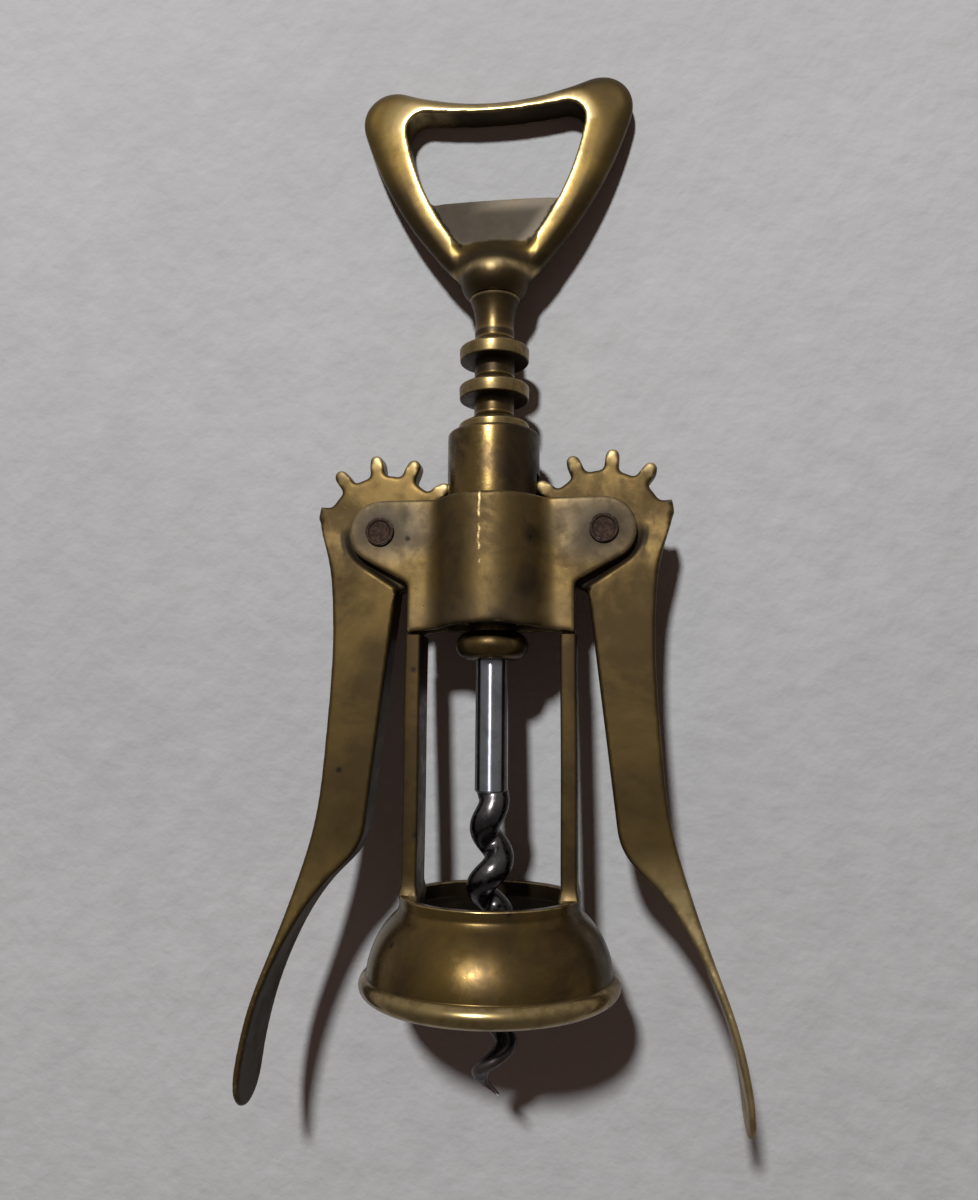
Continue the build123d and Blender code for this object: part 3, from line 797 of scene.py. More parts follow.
class CORKSCREW_OT_legs(Operator):
    """Draws the two flat legs and the solder round their feet"""

    bl_idname = "corkscrew.legs"
    bl_label = "Legs"

    def execute(self, context):
        s = context.scene.corkscrew_legs
        foot, shoulder = context.scene.corkscrew_bell.height, s.shoulder
        for side, word in ((1, "right"), (-1, "left")):
            low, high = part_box(f"{word}_leg")
            heights = [low.z, foot, foot + 0.02 * MM, *(foot + (shoulder - foot) * k / 26 for k in range(1, 26))]
            heights += [shoulder - 0.01 * MM, shoulder, high.z]
            name = f"{word}_leg_bar"
            leg = new_piece(name, skinned(name, [self.outline(s, z, foot, side) for z in heights], False))
            shade(leg, 50)
            mark_bends(leg, 0.5 * MM, 1)
            height = places(leg.data)[:, 2]
            material = aged_brass(
                f"Drawn brass, {word} leg", clean=0.14, rough=(0.36, 0.52), patch=110.0, bare=0.7, specks=0.12,
                scratches=0.15, cast=0.7, metal=(0.8, 0.95), rubbed=0.25, tint="leg_brass", brown="leg_brown"
            )
            finish_piece(leg, "stand", [f"{word}_leg"], "brass_legs", material,
                         stain=0.25 * fade(height, foot + 4.5 * MM, foot))
        return {"FINISHED"}

    def outline(self, s, z, foot, side):
        """The leg's outline with round corners at a height: tongue, bar with solder and drift, or tenon."""
        drift = 0.07 * MM * math.sin(z * 190.0 + side)
        centre = s.outer_x - s.thickness / 2 + drift * 0.4
        if z < foot:
            half_x, half_y, centre = 0.8 * MM, s.depth / 2 - 0.6 * MM, 12.4 * MM
        elif z >= s.shoulder:
            half_x, half_y = s.thickness / 2 - 0.4 * MM, 2.0 * MM
        else:
            swell = max(0.0, 1 - (z - foot) / s.solder_height) ** 2 * 0.35 * MM
            half_x, half_y = s.thickness / 2 + swell, s.depth / 2 + swell
        corner = min(0.42 * MM, half_x * 0.4)
        ring = []
        for cx, cy, start in ((1, 1, 0), (-1, 1, 90), (-1, -1, 180), (1, -1, 270)):
            for turn in np.radians(start + 22.5 * np.arange(5)):
                x = cx * (half_x - corner) + corner * math.cos(turn)
                y = cy * (half_y - corner) + corner * math.sin(turn)
                ring.append((side * centre + x, y, z))
        return ring


# Dark spots on each plate, in mm: x, height, radius, and how dark.
PLATE_SPOTS = (
    (18.8, 74.65, 5.6, 0.75), (-18.8, 74.65, 4.6, 0.5), (7.2, 73.4, 2.4, 0.9), (6.3, 64.4, 3.0, 0.8),
    (2.0, 58.6, 3.4, 0.9), (-14.6, 77.2, 1.8, 0.35), (11.6, 75.0, 1.4, 0.4), (13.0, 61.5, 2.2, 0.3),
    (-3.4, 60.8, 2.4, 0.35), (0.5, 57.6, 3.2, 0.8), (-8.4, 79.0, 2.0, 0.3), (9.0, 57.9, 2.5, 0.4),
)
# The long scratch on the front plate, in mm: x, and the heights of its ends.
PLATE_NICK = (-1.1, 66.0, 80.5)


class CORKSCREW_OT_plates(Operator):
    """Casts the front and back plates that hold the tube and the levers"""

    bl_idname = "corkscrew.plates"
    bl_label = "Plates"

    def execute(self, context):
        s = context.scene.corkscrew_plates
        for word, nick in (("front", PLATE_NICK), ("back", None)):
            plate = cast_copy(f"{word}_plate_casting", f"{word}_plate", context.scene.corkscrew_cast)
            x, _, z = places(plate.data).T / MM
            crease = fade(np.abs(np.abs(x) - s.blend / MM), 3.0, 0.6)
            within = np.minimum(z - s.bottom / MM, s.top / MM - z)
            soften(plate.data, crease * fade(within, 0.7, 1.7), 80)
            mark_bends(plate, 0.8 * MM, 4)
            x, _, z = places(plate.data).T / MM
            spots = [depth * fade(np.hypot(x - across, z - height) / radius, 1.2, 0.2)
                     for across, height, radius, depth in PLATE_SPOTS]
            bulge = 0.38 * fade(np.abs(x), 8.5, 7.5)
            ears = fade(np.hypot((np.abs(x) - 17.5) / 7.5, (z - 75.5) / 6.0), 1.25, 0.25)
            material = aged_brass(
                f"Dull plate brass, {word}", clean=0.42, rough=(0.4, 0.52), patch=80.0, bare=0.55, specks=0.02,
                cast=0.8, stain=0.6, metal=(0.8, 0.95), rubbed=0.25, nick=nick
            )
            finish_piece(plate, "stand", [f"{word}_plate"], "brass_plates", material,
                         stain=strongest(*spots, bulge), crust=ears * 0.55 + 0.1 * fade(np.abs(z - 60), 6, 0))
        return {"FINISHED"}


class CORKSCREW_OT_guide_tube(Operator):
    """Turns the guide tube and mills the slots for the levers' teeth"""

    bl_idname = "corkscrew.guide_tube"
    bl_label = "Guide Tube"

    def execute(self, context):
        s = context.scene.corkscrew_tube
        low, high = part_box("guide_tube")
        top = high.z - 0.6 * MM
        line = [(s.bore, low.z, 0.2 * MM), (s.radius, low.z, 0.25 * MM), (s.radius, top, 1.2 * MM)]
        tube = turned("turned_guide_tube", line + [(s.bore, top, 0.15 * MM)], steps=144, arc=8)
        half_x, half_y, under = 2 * s.radius, s.slot_width / 2, low.z - 2 * MM
        corners = [(x * half_x, y * half_y) for x, y in ((-1, -1), (1, -1), (1, 1), (-1, 1))]
        ends = [[(*corner, z) for corner in corners] for z in (under, s.slot_top)]
        cutter = new_piece("slot_cutter", skinned("slot_cutter", ends, False))
        cut = tube.modifiers.new("slots", "BOOLEAN")
        cut.operation, cut.solver, cut.object = "DIFFERENCE", "EXACT", cutter
        settle(tube)
        bpy.data.meshes.remove(cutter.data)
        shade(tube, 38)
        mark_bends(tube, 0.6 * MM, 1)
        x, y, _ = places(tube.data).T / MM
        material = aged_brass(
            "Turned tube brass", clean=0.3, rough=(0.24, 0.38), patch=150.0, bare=0.7, specks=0.08, lathe=0.06,
            scratches=0.1, cast=0.9, metal=(0.85, 0.98)
        )
        # Painted shade down the front right side of the tube, away from the lamp.
        finish_piece(tube, "stand", ["guide_tube"], "brass_turned", material, stain=0.9 * fade(x, 0.4, 3.4) * (y < 0))
        return {"FINISHED"}


class CORKSCREW_OT_rack(Operator):
    """Turns the rack and sets its rings at the pitch of the levers' teeth"""

    bl_idname = "corkscrew.rack"
    bl_label = "Rack"

    def execute(self, context):
        s = context.scene.corkscrew_rack
        low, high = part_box("rack")
        inner, bore = s.groove_radius - 0.3 * MM, 2.45 * MM
        rim_top = s.top_ring + s.rim_height
        cone_top = rim_top + s.ring_radius - s.groove_radius
        slope_foot = (s.groove_radius + 0.75 * MM, rim_top + 1.6 * MM)
        ring = [(inner, s.top_ring, 0.0), (s.ring_radius - 0.1 * MM, s.top_ring, 0.3 * MM)]
        ring += [(s.ring_radius, rim_top + 0.55 * MM, 0.5 * MM), (*slope_foot, 0.5 * MM)]
        ring += bowed(slope_foot, (s.groove_radius + 0.02 * MM, cone_top), 0.2 * MM, 8)[1:]
        ring += [(inner, cone_top, 0.0)]
        flare = high.z - 6.2 * MM
        core = [(bore, low.z, 0.0), (s.groove_radius, low.z, 0.15 * MM), (s.groove_radius, flare, 0.0)]
        core += bowed((s.groove_radius + 0.01 * MM, flare), (4.4 * MM, high.z), 0.42 * MM, 14)
        core += [(bore, high.z, 0.0)]
        material = aged_brass(
            "Turned rack brass", clean=0.45, rough=(0.26, 0.38), patch=150.0, bare=0.7, specks=0.04, lathe=0.1,
            scratches=0.1, cast=0.4, stain=0.35, metal=(0.85, 1.0), rubbed=0.1
        )
        rack, middle = turned("ringed_rack", ring), turned("rack_core", core)
        run_tree(rack, ring_tree(), core=middle, rings=s.ring_count, pitch=s.ring_pitch, finish=material)
        bpy.data.objects.remove(middle)
        shade(rack, 45)
        mark_bends(rack, 0.5 * MM, 2)
        x, y, z = places(rack.data).T / MM
        up = normals(rack.data)[:, 2]
        out = np.hypot(x, y) - s.groove_radius / MM
        # Painted highlights on the rings' rims and upward faces; painted shade on their undersides and on the flare
        # under the handle.
        rim_highlight = fade(out, 1.9, 2.2) * (up > -0.3)
        top_highlight = fade(out, 0.5, 0.9) * fade(up, 0.15, 0.65)
        bow = fade(z - high.z / MM, -6.0, -4.5)
        finish_piece(rack, "rack", ["rack"], "brass_turned", material,
                     polish=strongest(0.25 * rim_highlight, 0.9 * top_highlight), stain=strongest(0.9 * (up < -0.5), 0.75 * bow))
        return {"FINISHED"}


class CORKSCREW_OT_end_collar(Operator):
    """Turns the bullnose collar under the rack"""

    bl_idname = "corkscrew.end_collar"
    bl_label = "End Collar"

    def execute(self, context):
        low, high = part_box("end_collar")
        bore, core, bead_top = 2.41 * MM, 4.0 * MM, low.z + 4.7 * MM
        line = [(bore, low.z, 0.0)] + bowed((core, low.z), (core, bead_top), -2.1 * MM, 22)
        line += [(core, high.z, 0.2 * MM), (bore, high.z, 0.0)]
        collar = turned("bullnose_collar", line)
        shade(collar, 45)
        mark_bends(collar, 0.6 * MM, 1)
        material = aged_brass(
            "Turned collar brass", clean=0.25, rough=(0.28, 0.4), patch=150.0, bare=0.8, specks=0.08, lathe=0.06,
            scratches=0.1, cast=0.3, metal=(0.85, 0.95)
        )
        finish_piece(collar, "screw", ["end_collar"], "brass_turned", material)
        return {"FINISHED"}


# The worm's wire from its top to its point, in mm: height, how far it winds out, radius of the wire.
WORM_STATIONS = ((33.0, 0.0, 2.6), (30.0, 0.6, 2.5), (24.0, 1.25, 2.4), (16.0, 1.65, 2.35),
                 (4.0, 2.2, 2.15), (-7.8, 2.7, 1.8), (-12.6, 1.3, 1.3), (-16.2, 2.1, 0.25))
WORM_START = 20.9  # a height where the winding points to the right


class CORKSCREW_OT_worm(Operator):
    """Winds the worm below its bright shank and spindle"""

    bl_idname = "corkscrew.worm"
    bl_label = "Worm"

    def execute(self, context):
        s = context.scene.corkscrew_worm
        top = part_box("worm")[1].z
        stations = np.array(WORM_STATIONS[::-1]).T
        heights = np.linspace(stations[0, -1], stations[0, 0], 300)
        winds, radii = (np.interp(heights, stations[0], row) for row in stations[1:])
        turn = 2 * np.pi * (heights - WORM_START) / (s.pitch / MM)
        mesh = bpy.data.meshes.new("wound_worm")
        points = np.stack([winds * np.cos(turn), winds * np.sin(turn), heights], 1) * MM
        mesh.from_pydata([tuple(p) for p in points], [(k, k + 1) for k in range(len(points) - 1)], [])
        point_values(mesh, "wire", radii * MM)
        point_values(mesh, "flat", fade(heights, 17.0, 3.0))
        worm = new_piece("wound_worm", mesh)
        material = steel("Dark worm steel", "dark_steel", (0.2, 0.32), 0.15, 0.05)
        run_tree(worm, worm_tree(), sides=40, blade=s.blade, finish=material)
        shade(worm, 60)
        mark_bends(worm, 0.35 * MM, 2)
        point_values(worm.data, "stain", 0.7 * fade(places(worm.data)[:, 2] / MM, -3.0, -11.0))
        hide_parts("worm")
        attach(worm, "screw")

        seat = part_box("end_collar")[0].z
        line = [(0.0, s.shank_end, 0.0), (s.shank_radius - 0.25 * MM, s.shank_end, 0.1 * MM)]
        line += [(s.shank_radius, s.shank_end + 0.35 * MM, 0.2 * MM), (s.shank_radius, seat, 0.15 * MM)]
        line += [(s.spindle_radius, seat, 0.0), (s.spindle_radius, top, 0.1 * MM), (0.0, top, 0.0)]
        shank = turned("bright_shank", line, closed=False, steps=72)
        shade(shank, 40)
        mark_bends(shank, 0.4 * MM, 1)
        material = steel("Bright shank steel", "shank_steel", (0.3, 0.34), 0.0, 0.02, brushed=0.95)
        finish_piece(shank, "screw", ["worm"], "bright_steel", material)
        return {"FINISHED"}


# Heights above the handle's foot in mm: where the web and the loop start, and the middle of the opening.
WEB_FOOT, LOOP_MIDDLE = 8.0, 27.0


class CORKSCREW_OT_handle(Operator):
    """Casts the looped handle with the opener's lip and its ferrule"""

    bl_idname = "corkscrew.handle"
    bl_label = "Handle"

    def execute(self, context):
        handle = cast_copy("looped_handle", "handle", context.scene.corkscrew_cast)
        mesh, foot = handle.data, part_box("handle")[0].z
        place, inwards, x, y, z, front = self.measure(mesh, foot)
        from_wall = self.from_wall(place, inwards & (front < 0.3) & (z > WEB_FOOT))
        arch = fade(z, 7.0, 10.0) * (np.abs(y) > 1.15)
        lean = 1 - 0.3 * arch * fade(from_wall, 0, 6.5) ** 1.5
        slope = 1.1 + 4.6 * fade(z, 10.9, 5.9) ** 1.2 * fade((x / 5.6) ** 2, 1, 0) ** 0.5
        flat = (z > 4.0) & (z < 12.5) & (np.abs(x) < 5.6) & (np.abs(y) > 0.3)
        depth = np.where(flat, np.maximum(np.abs(y) * lean, slope), np.abs(y) * lean)
        place[:, 1] = np.sign(y) * depth * MM
        move_points(mesh, place)
        join = fade(np.abs(z - WEB_FOOT), 5.2, 1.2) * (np.abs(x) < 7.5)
        soften(mesh, np.maximum(join, 0.6 * ((from_wall > 3.0) & (z > WEB_FOOT))), 36)
        soften(mesh, fade(np.abs(z - 7.6), 2.88, 0.48) * (np.abs(x) < 6.0), 60)
        mark_bends(handle, 0.9 * MM, 3)
        material = aged_brass(
            "Rubbed handle brass", clean=0.56, rough=(0.3, 0.4), patch=55.0, bare=0.7, specks=0.06, cast=0.8,
            stain=0.9, metal=(0.85, 1.0), rubbed=0.2, tint="handle_brass", brown="handle_brown"
        )
        finish_piece(handle, "screw", ["handle"], "brass_handle", material, **self.marks(mesh, foot, from_wall))
        return {"FINISHED"}

    def measure(self, mesh, foot):
        """Where each point is, if it faces into the loop, x, y, height in mm, and how far it faces forward or back."""
        place, normal = places(mesh), normals(mesh)
        x, y, z = place[:, 0] / MM, place[:, 1] / MM, (place[:, 2] - foot) / MM
        inwards = normal[:, 0] * -x + normal[:, 2] * (LOOP_MIDDLE - z) > 0
        return place, inwards, x, y, z, np.abs(normal[:, 1])

    def from_wall(self, place, wall):
        """How far every point is from the wall inside the loop, seen from the front, in mm."""
        near = KDTree(int(wall.sum()))
        for index, spot in enumerate(place[wall]):
            near.insert((spot[0], 0.0, spot[2]), index)
        near.balance()
        return np.array([near.find((spot[0], 0.0, spot[2]))[2] for spot in place]) / MM

    def marks(self, mesh, foot, from_wall):
        """The film on the web, painted shade on the loop's outer parts, inner walls, lower arms, right lobe, web and
        ferrule, and painted highlights along the opening, on the upper left corner and on the ferrule's lip.
        """
        _, inwards, x, y, z, front = self.measure(mesh, foot)
        y = np.abs(y)
        web = (y < 1.35) & (z > WEB_FOOT) & (z < 19.2) & (np.abs(x) < 4.0 + 0.72 * np.maximum(z - 6.6, 0))
        # The dark marks below are painted shade: the loop's outer parts, the lower arms, the right lobe, the ferrule's
        # underside and right side, the web's left part, the walls inside the loop and the join above the ferrule.
        lower = fade(z, 25.0, 20.0) * fade(from_wall, 1.2, 2.7) * (z > 7.0)
        right_lobe = fade(x, 5.0, 11.0) * fade(from_wall, 1.8, 3.8) * (z > 24.0)
        ferrule = strongest(0.9 * fade(x, 0.5, 3.0) * (z < 7.0), 0.85 * (z < 7.5), 0.9 * fade(z, 3.4, 1.8))
        stain = strongest(
            0.5 * fade(from_wall, 2.2, 5.2) * np.maximum(fade(x, -12.0, -2.0), 0.2) * (z > 9.0),
            0.75 * lower,
            0.65 * right_lobe,
            ferrule,
            0.8 * fade(x, 1.0, -5.0) * web,
            0.95 * (inwards & (front < 0.45) & (z > WEB_FOOT)),
            0.6 * fade(np.abs(z - 7.5), 3.0, 0.0) * (np.abs(x) < 5.5),
        )
        # Painted highlights: a band along the opening's edge, the upper left corner and the ferrule's lip.
        reach = np.where(z > 32.0, 1.7, np.where(x > 6.0, 0.8, 1.0))
        edge_highlight = fade(from_wall / reach, 1.35, 0.35) * (front > 0.6) * (y > 1.6) * (z > 10.0)
        corner_highlight = 0.65 * fade(np.hypot(x + 14.0, z - 34.5) / 6.0, 1.2, 0.2)
        lip = 0.8 * fade(np.abs(z - 4.4), 1.1, 0.0)
        marks = {"crust": np.where(web, 1.0, 0.0), "stain": stain, "polish": strongest(0.95 * edge_highlight, corner_highlight, lip)}
        return {attribute: spread(mesh, values, 3) for attribute, values in marks.items()}


# A plate's ear seen from its pivot, in degrees: how far it leans, and where its round end runs on straight.
EAR_LEAN, EAR_STRAIGHT = 7.5, 61.0
# Heights on a lever in mm: where its faces start to swell below the thin hub, where they are at the arm's full
# thickness, and the foot of the hub.
ARM_TOP, ARM_FULL, HUB_FOOT = 79.5, 67.5, 66.0


class CORKSCREW_OT_levers(Operator):
    """Casts the two toothed levers"""

    bl_idname = "corkscrew.levers"
    bl_label = "Levers"

    def execute(self, context):
        for word, sign, clean in (("right", 1, 0.2), ("left", -1, 0.28)):
            lever = cast_copy(f"{word}_wing_lever", f"{word}_lever", context.scene.corkscrew_cast)
            self.fill(context.scene, lever.data, sign)
            mark_bends(lever, 0.8 * MM, 4)
            material = aged_brass(
                f"Brown lever brass, {word}", clean=clean, rough=(0.42, 0.54), patch=45.0, bare=0.7, specks=0.02,
                scratches=0.08, cast=0.7, stain=0.7, metal=(0.82, 0.95), rubbed=0.2, tint="lever_brass",
                brown="lever_brown"
            )
            marks = self.marks(context.scene, lever.data, sign)
            finish_piece(lever, f"{word}_lever", [f"{word}_lever"], "brass_levers", material, **marks)
        return {"FINISHED"}

    def fill(self, scene, mesh, sign):
        """Fills the pocket beside and below the ear up to a narrow gap, and eases the hub into the arm."""
        s, plates = scene.corkscrew_levers, scene.corkscrew_plates
        place, normal = places(mesh) / MM, normals(mesh)
        x, y, z = place.T
        thin, thick = s.hub_thickness / 2 / MM, s.thickness / 2 / MM
        flush = thin + (thick - thin) * smooth(fade(z, ARM_TOP, ARM_FULL))
        y[:] = np.where(z > HUB_FOOT, np.clip(y, -flush, flush), y)
        out, rise = sign * x - plates.pivot_x / MM, z - plates.pivot_height / MM
        far, turn = np.hypot(out, rise), np.degrees(np.arctan2(-rise, out))
        beside = fade(turn, 130.0, 122.0) * fade(turn, -50.0, -40.0) * fade(out, -3.1, -2.6)
        ear = plates.ear_radius / MM / np.cos(np.radians(np.clip(turn + EAR_LEAN - EAR_STRAIGHT, 0, 60)))
        gap = s.ear_gap / MM
        level = thin + (flush - thin) * smooth(fade(far - ear, gap, gap + 0.7) * beside)
        outwards = (sign * normal[:, 0] * out + normal[:, 2] * rise) / far
        face = (far < 12.5) & (np.abs(y) > 1.2) & (outwards < 0.2)
        y[:] = np.where(face, np.sign(y) * np.maximum(np.abs(y), level), y)
        x += sign * 0.45 * fade(z, 67.0, 76.0) ** 1.5 * fade(z, 77.5, 76.9) * fade(out, 5.5, 8.0)
        move_points(mesh, place * MM)
        soften(mesh, fade(z, 62.0, 69.0), 6)

    def marks(self, scene, mesh, sign):
        """Painted shade inside the left paddle, painted shadow on the hub under the ears, and painted highlights on
        the upward faces of the teeth and on the right paddle.
        """
        s, plates = scene.corkscrew_levers, scene.corkscrew_plates
        place, normal = places(mesh) / MM, normals(mesh)
        x, y, z = sign * place[:, 0], np.abs(place[:, 1]), place[:, 2]
        pivot = plates.pivot_height / MM
        far = np.hypot(x - plates.pivot_x / MM, z - pivot)
        paddle = fade(z, 24.0, 4.0)
        # Painted shade on the inner face of the left paddle; painted shadow of the ear on the hub below the pivot.
        inner = (sign * normal[:, 0] < -0.35) & (z < 26) & (sign < 0)
        under = fade(z, pivot + 1.5, pivot - 0.5) * (far < 7.3 + 4.2 * fade(z, 71.5, 67.5))
        thick = s.thickness / 2 / MM
        ear_shadow = fade(y, thick - 0.05, thick - 0.4) * under * (np.abs(normal[:, 1]) >= 0.25)
        # Painted highlights on the teeth's upward faces and on the right paddle.
        tips = fade(far - s.tooth_root / MM, 0.9, 2.9) * (z > pivot - 2)
        upward = fade(normal[:, 2] - 0.5 * sign * normal[:, 0], -0.35, 0.65)
        return {
            "stain": np.maximum(0.8 * spread(mesh, paddle * inner, 4), spread(mesh, ear_shadow, 2)),
            "polish": np.maximum(0.85 * tips * upward, 0.6 * paddle * (sign > 0)),
        }


class CORKSCREW_OT_rivets(Operator):
    """Closes the dished rivets through the plates' ears"""

    bl_idname = "corkscrew.rivets"
    bl_label = "Rivets"

    def execute(self, context):
        s = context.scene.corkscrew_rivets
        line = [(0.0, -s.seat, 0.0), (s.stem_radius, -s.seat, 0.0), (s.stem_radius, 0.0, 0.0)]
        line += [(s.head_radius, 0.0, 0.0), (s.head_radius, s.head_height, 0.32 * MM)]
        line += [(0.8 * s.head_radius, s.head_height, 0.2 * MM)]
        line += [(0.7 * s.head_radius, s.head_height - 0.8 * s.dish_depth, 0.25 * MM)]
        line += [(0.0, s.head_height - s.dish_depth, 0.0)]
        head = turned("rivet_head", line, closed=False, steps=40)
        spots, turns = [], []
        for low, high in (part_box("right_rivet"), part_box("left_rivet")):
            middle = (low + high) / 2
            for way in (-1, 1):
                spots.append((middle.x, way * s.seat, middle.z))
                turns.append((-way * math.pi / 2, 0.0, 0.0))
        mesh = bpy.data.meshes.new("rusty_rivets")
        mesh.from_pydata(spots, [], [])
        layer = mesh.attributes.new("turn", "FLOAT_VECTOR", "POINT")
        layer.data.foreach_set("vector", np.array(turns, np.float32).ravel())
        rivets = new_piece("rusty_rivets", mesh)
        material = steel("Rusty rivet steel", "rivet_steel", (0.5, 0.66), 0.6, 0.0)
        run_tree(rivets, rivet_tree(), head=head, finish=material)
        bpy.data.objects.remove(head)
        shade(rivets, 50)
        mark_bends(rivets, 0.3 * MM, 1)
        finish_piece(rivets, "stand", ["left_rivet", "right_rivet"], "rusty_steel", material,
                     stain=np.full(len(rivets.data.vertices), 0.45))
        return {"FINISHED"}


# ---------------------------------------------------------------- stage

# The corkscrew lies on its back on the table, rolled by this angle.
ROLL = math.radians(6.97)
# The camera as it was fitted to the photograph, seen from the table.
LOOK = {
    "place": Vector((1.284, -157.17, 42.85)) * MM,
    "ahead": Vector((-0.01203, 0.99152, 0.12945)),
    "right": Vector((0.99991, 0.01104, 0.00834)),
    "up": Vector((-0.00684, -0.12953, 0.99155)),
}
FOCUS, PHOTO_HEIGHT = 936.9, 1200  # focal length and picture height in pixels
SENSOR = 36.0


def to_object_frame(vector):
    """Turns a vector from the table's frame to the corkscrew's."""
    return Matrix.Rotation(ROLL, 3, "Z") @ vector


def set_camera(scene):
    camera = bpy.data.objects.new("photo_camera", bpy.data.cameras.new("photo_camera"))
    scene.collection.objects.link(camera)
    camera.data.sensor_width = SENSOR
    camera.data.lens = FOCUS / PHOTO_HEIGHT * SENSOR
    camera.data.clip_start, camera.data.clip_end = 0.005, 10.0
    right, up, ahead = (to_object_frame(LOOK[k]) for k in ("right", "up", "ahead"))
    turn = Matrix((right, up, -ahead)).transposed().to_4x4()
    camera.matrix_world = Matrix.Translation(to_object_frame(LOOK["place"])) @ turn
    scene.camera = camera


def lay_table(width, pale):
    """A flat table that touches the backs of the bell's rim and the handle."""
    bell_back = Vector((0, 21.05, 1.65)) * MM
    handle_back = Vector((0, 2.6, 155.0)) * MM
    along, across = (handle_back - bell_back).normalized(), Vector((1, 0, 0))
    half = width / 2
    middle = (bell_back + handle_back) / 2
    corners = [middle + across * a * half + along * b * half for a, b in ((-1, -1), (1, -1), (1, 1), (-1, 1))]
    mesh = bpy.data.meshes.new("pale_table")
    mesh.from_pydata(corners, [], [(0, 1, 2, 3)])
    table = new_piece("pale_table", mesh)
    table.data.materials.append(table_paint(pale))


def table_paint(pale):
    """Pale paint with a low rough grain, seen through from behind."""
    material, shader, place = blank_finish("Pale table paint")
    spots = noise(place, 160.0, 4.0, 0.55)
    tone = noise(place, 9.0, 3.0, 0.5) * 0.5 + spots * 0.5
    low, high = [0.93 * c for c in pale], [min(1.0, 1.06 * c) for c in pale]
    feed(shader.inputs["Base Color"], mix(ramp(tone, 0.3, 0.7), low, high))
    feed(shader.inputs["Roughness"], ramp(spots, 0.3, 0.7, 0.72, 0.86))
    shader.inputs["Specular IOR Level"].default_value = 0.25
    grain = noise(place, 330.0, 3.0, 0.5) + noise(place, 75.0, 2.0, 0.5) * 1.4
    bump(shader, grain, 0.45 * MM, 0.75)
    tree = place.tree
    back = Wire(node(tree, "ShaderNodeNewGeometry").outputs["Backfacing"])
    blend = node(tree, "ShaderNodeMixShader", {0: back, 1: shader, 2: node(tree, "ShaderNodeBsdfTransparent")})
    feed(tree.nodes["Material Output"].inputs["Surface"], blend)
    return material


def hang_lamp(scene, s):
    """A round lamp up and to the left of the camera, pointed at the corkscrew."""
    towards = (to_object_frame(Vector((-0.28, 0, 0)) + 0.72 * LOOK["up"] - LOOK["ahead"])).normalized()
    light = bpy.data.lights.new("lamp", "AREA")
    light.shape, light.size, light.energy = "DISK", s.lamp_width, s.lamp_power
    light.color = (0.965, 0.99, 1.0)
    lamp = bpy.data.objects.new("lamp", light)
    scene.collection.objects.link(lamp)
    lamp.location = Vector((0, 0, 60 * MM)) + towards * s.lamp_distance
    lamp.rotation_mode = "QUATERNION"
    lamp.rotation_quaternion = towards.to_track_quat("Z", "Y")


def light_room(scene, s):
    """A dim warm room, which looks grey to the camera and in metal."""
    world = bpy.data.worlds.new("room")
    scene.world = world
    world.use_nodes = True
    tree = world.node_tree
    path = wires(node(tree, "ShaderNodeLightPath"))
    place = node(tree, "ShaderNodeTexCoord").outputs["Generated"]
    height = wires(node(tree, "ShaderNodeSeparateXYZ", {"Vector": place}))["Z"]
    room = ramp(height, -0.5, 0.8, 0.45, 1.6) * s.room_grey
    shares = {"Red": 1.0, "Green": 0.98, "Blue": 0.965}
    grey = Wire(node(tree, "ShaderNodeCombineColor", {key: room * share for key, share in shares.items()}).outputs[0])
    seen = path["Is Camera Ray"].or_more(path["Is Glossy Ray"]).or_more(path["Is Transmission Ray"])
    dim = [s.room_light * share for share in (1.0, 0.64, 0.53)]
    feed(tree.nodes["Background"].inputs["Color"], mix(seen, dim, grey))


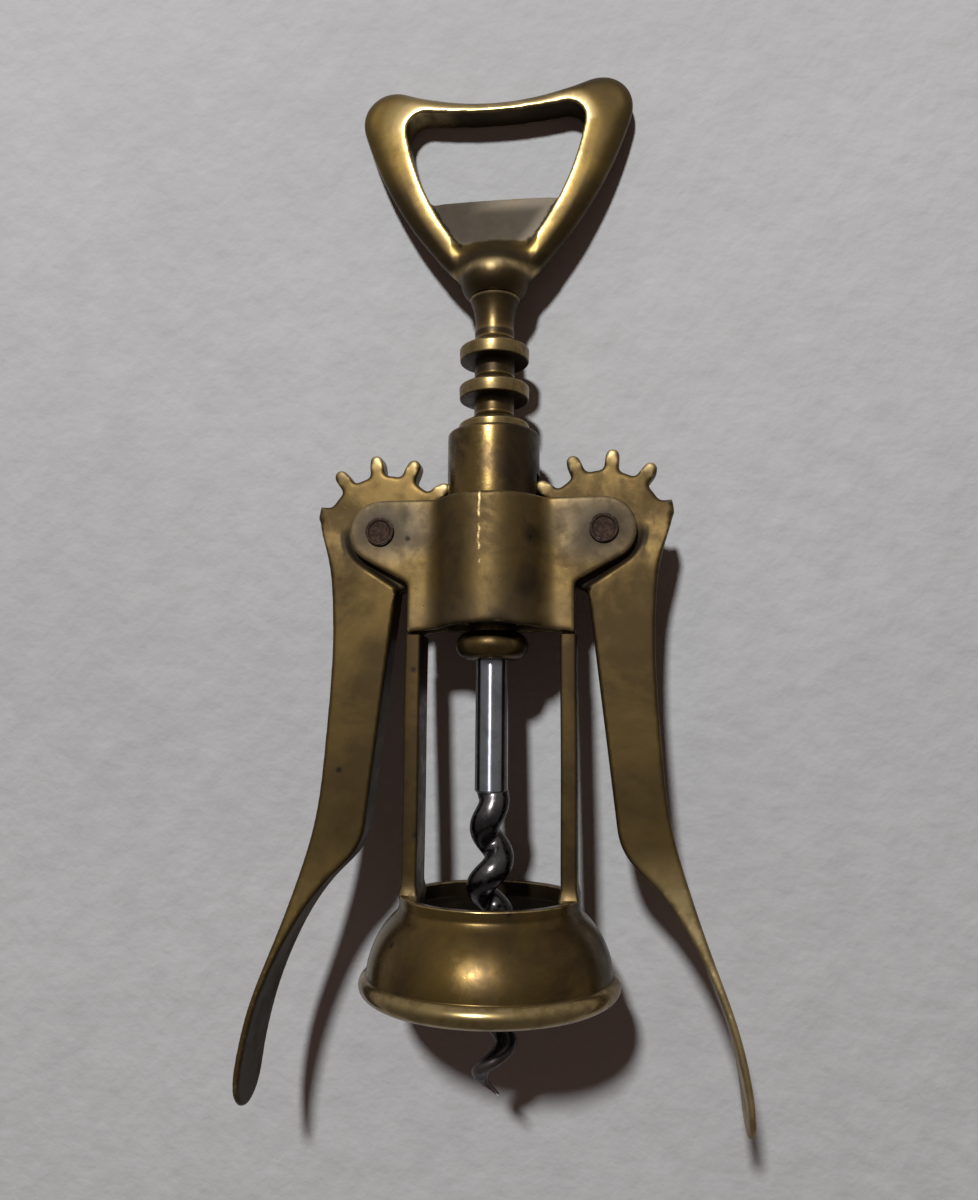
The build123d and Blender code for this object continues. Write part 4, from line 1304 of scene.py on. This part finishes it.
class CORKSCREW_OT_stage(Operator):
    """Sets the table, the lamp, the room light and the camera"""

    bl_idname = "corkscrew.stage"
    bl_label = "Stage"

    def execute(self, context):
        scene = context.scene
        s = scene.corkscrew_stage
        set_camera(scene)
        lay_table(s.table_width, tuple(scene.corkscrew_finishes.table))
        hang_lamp(scene, s)
        light_room(scene, s)
        return {"FINISHED"}


OPERATORS = (
    CORKSCREW_OT_bell, CORKSCREW_OT_legs, CORKSCREW_OT_plates, CORKSCREW_OT_guide_tube,
    CORKSCREW_OT_rack, CORKSCREW_OT_end_collar, CORKSCREW_OT_worm, CORKSCREW_OT_handle,
    CORKSCREW_OT_levers, CORKSCREW_OT_rivets, CORKSCREW_OT_stage,
)

GROUPS = {
    "corkscrew_bell": BellSizes,
    "corkscrew_legs": LegSizes,
    "corkscrew_tube": TubeSizes,
    "corkscrew_rack": RackSizes,
    "corkscrew_worm": WormSizes,
    "corkscrew_rivets": RivetSizes,
    "corkscrew_plates": PlateSizes,
    "corkscrew_levers": LeverSizes,
    "corkscrew_cast": CastSizes,
    "corkscrew_finishes": Finishes,
    "corkscrew_stage": StageSizes,
}


class CORKSCREW_PT_panel(Panel):
    """Lists the pieces of the corkscrew with their sizes"""

    bl_label = "Wing Corkscrew"
    bl_idname = "CORKSCREW_PT_panel"
    bl_space_type = "VIEW_3D"
    bl_region_type = "UI"
    bl_category = "Corkscrew"

    def draw(self, context):
        for operator in OPERATORS:
            self.layout.operator(operator.bl_idname)
        for name, group in GROUPS.items():
            box = self.layout.box()
            box.label(text=group.__name__)
            for item in group.__annotations__:
                box.prop(getattr(context.scene, name), item)


CLASSES = (*GROUPS.values(), *OPERATORS, CORKSCREW_PT_panel)


def register():
    for each in CLASSES:
        bpy.utils.register_class(each)
    for name, group in GROUPS.items():
        setattr(bpy.types.Scene, name, PointerProperty(type=group))


def unregister():
    for name in GROUPS:
        delattr(bpy.types.Scene, name)
    for each in reversed(CLASSES):
        bpy.utils.unregister_class(each)


def main():
    """Builds every piece and the stage."""
    register()
    bpy.context.scene.view_settings.view_transform = "Standard"
    for operator in OPERATORS:
        space, name = operator.bl_idname.split(".")
        getattr(getattr(bpy.ops, space), name)()


if __name__ == "__main__":
    main()
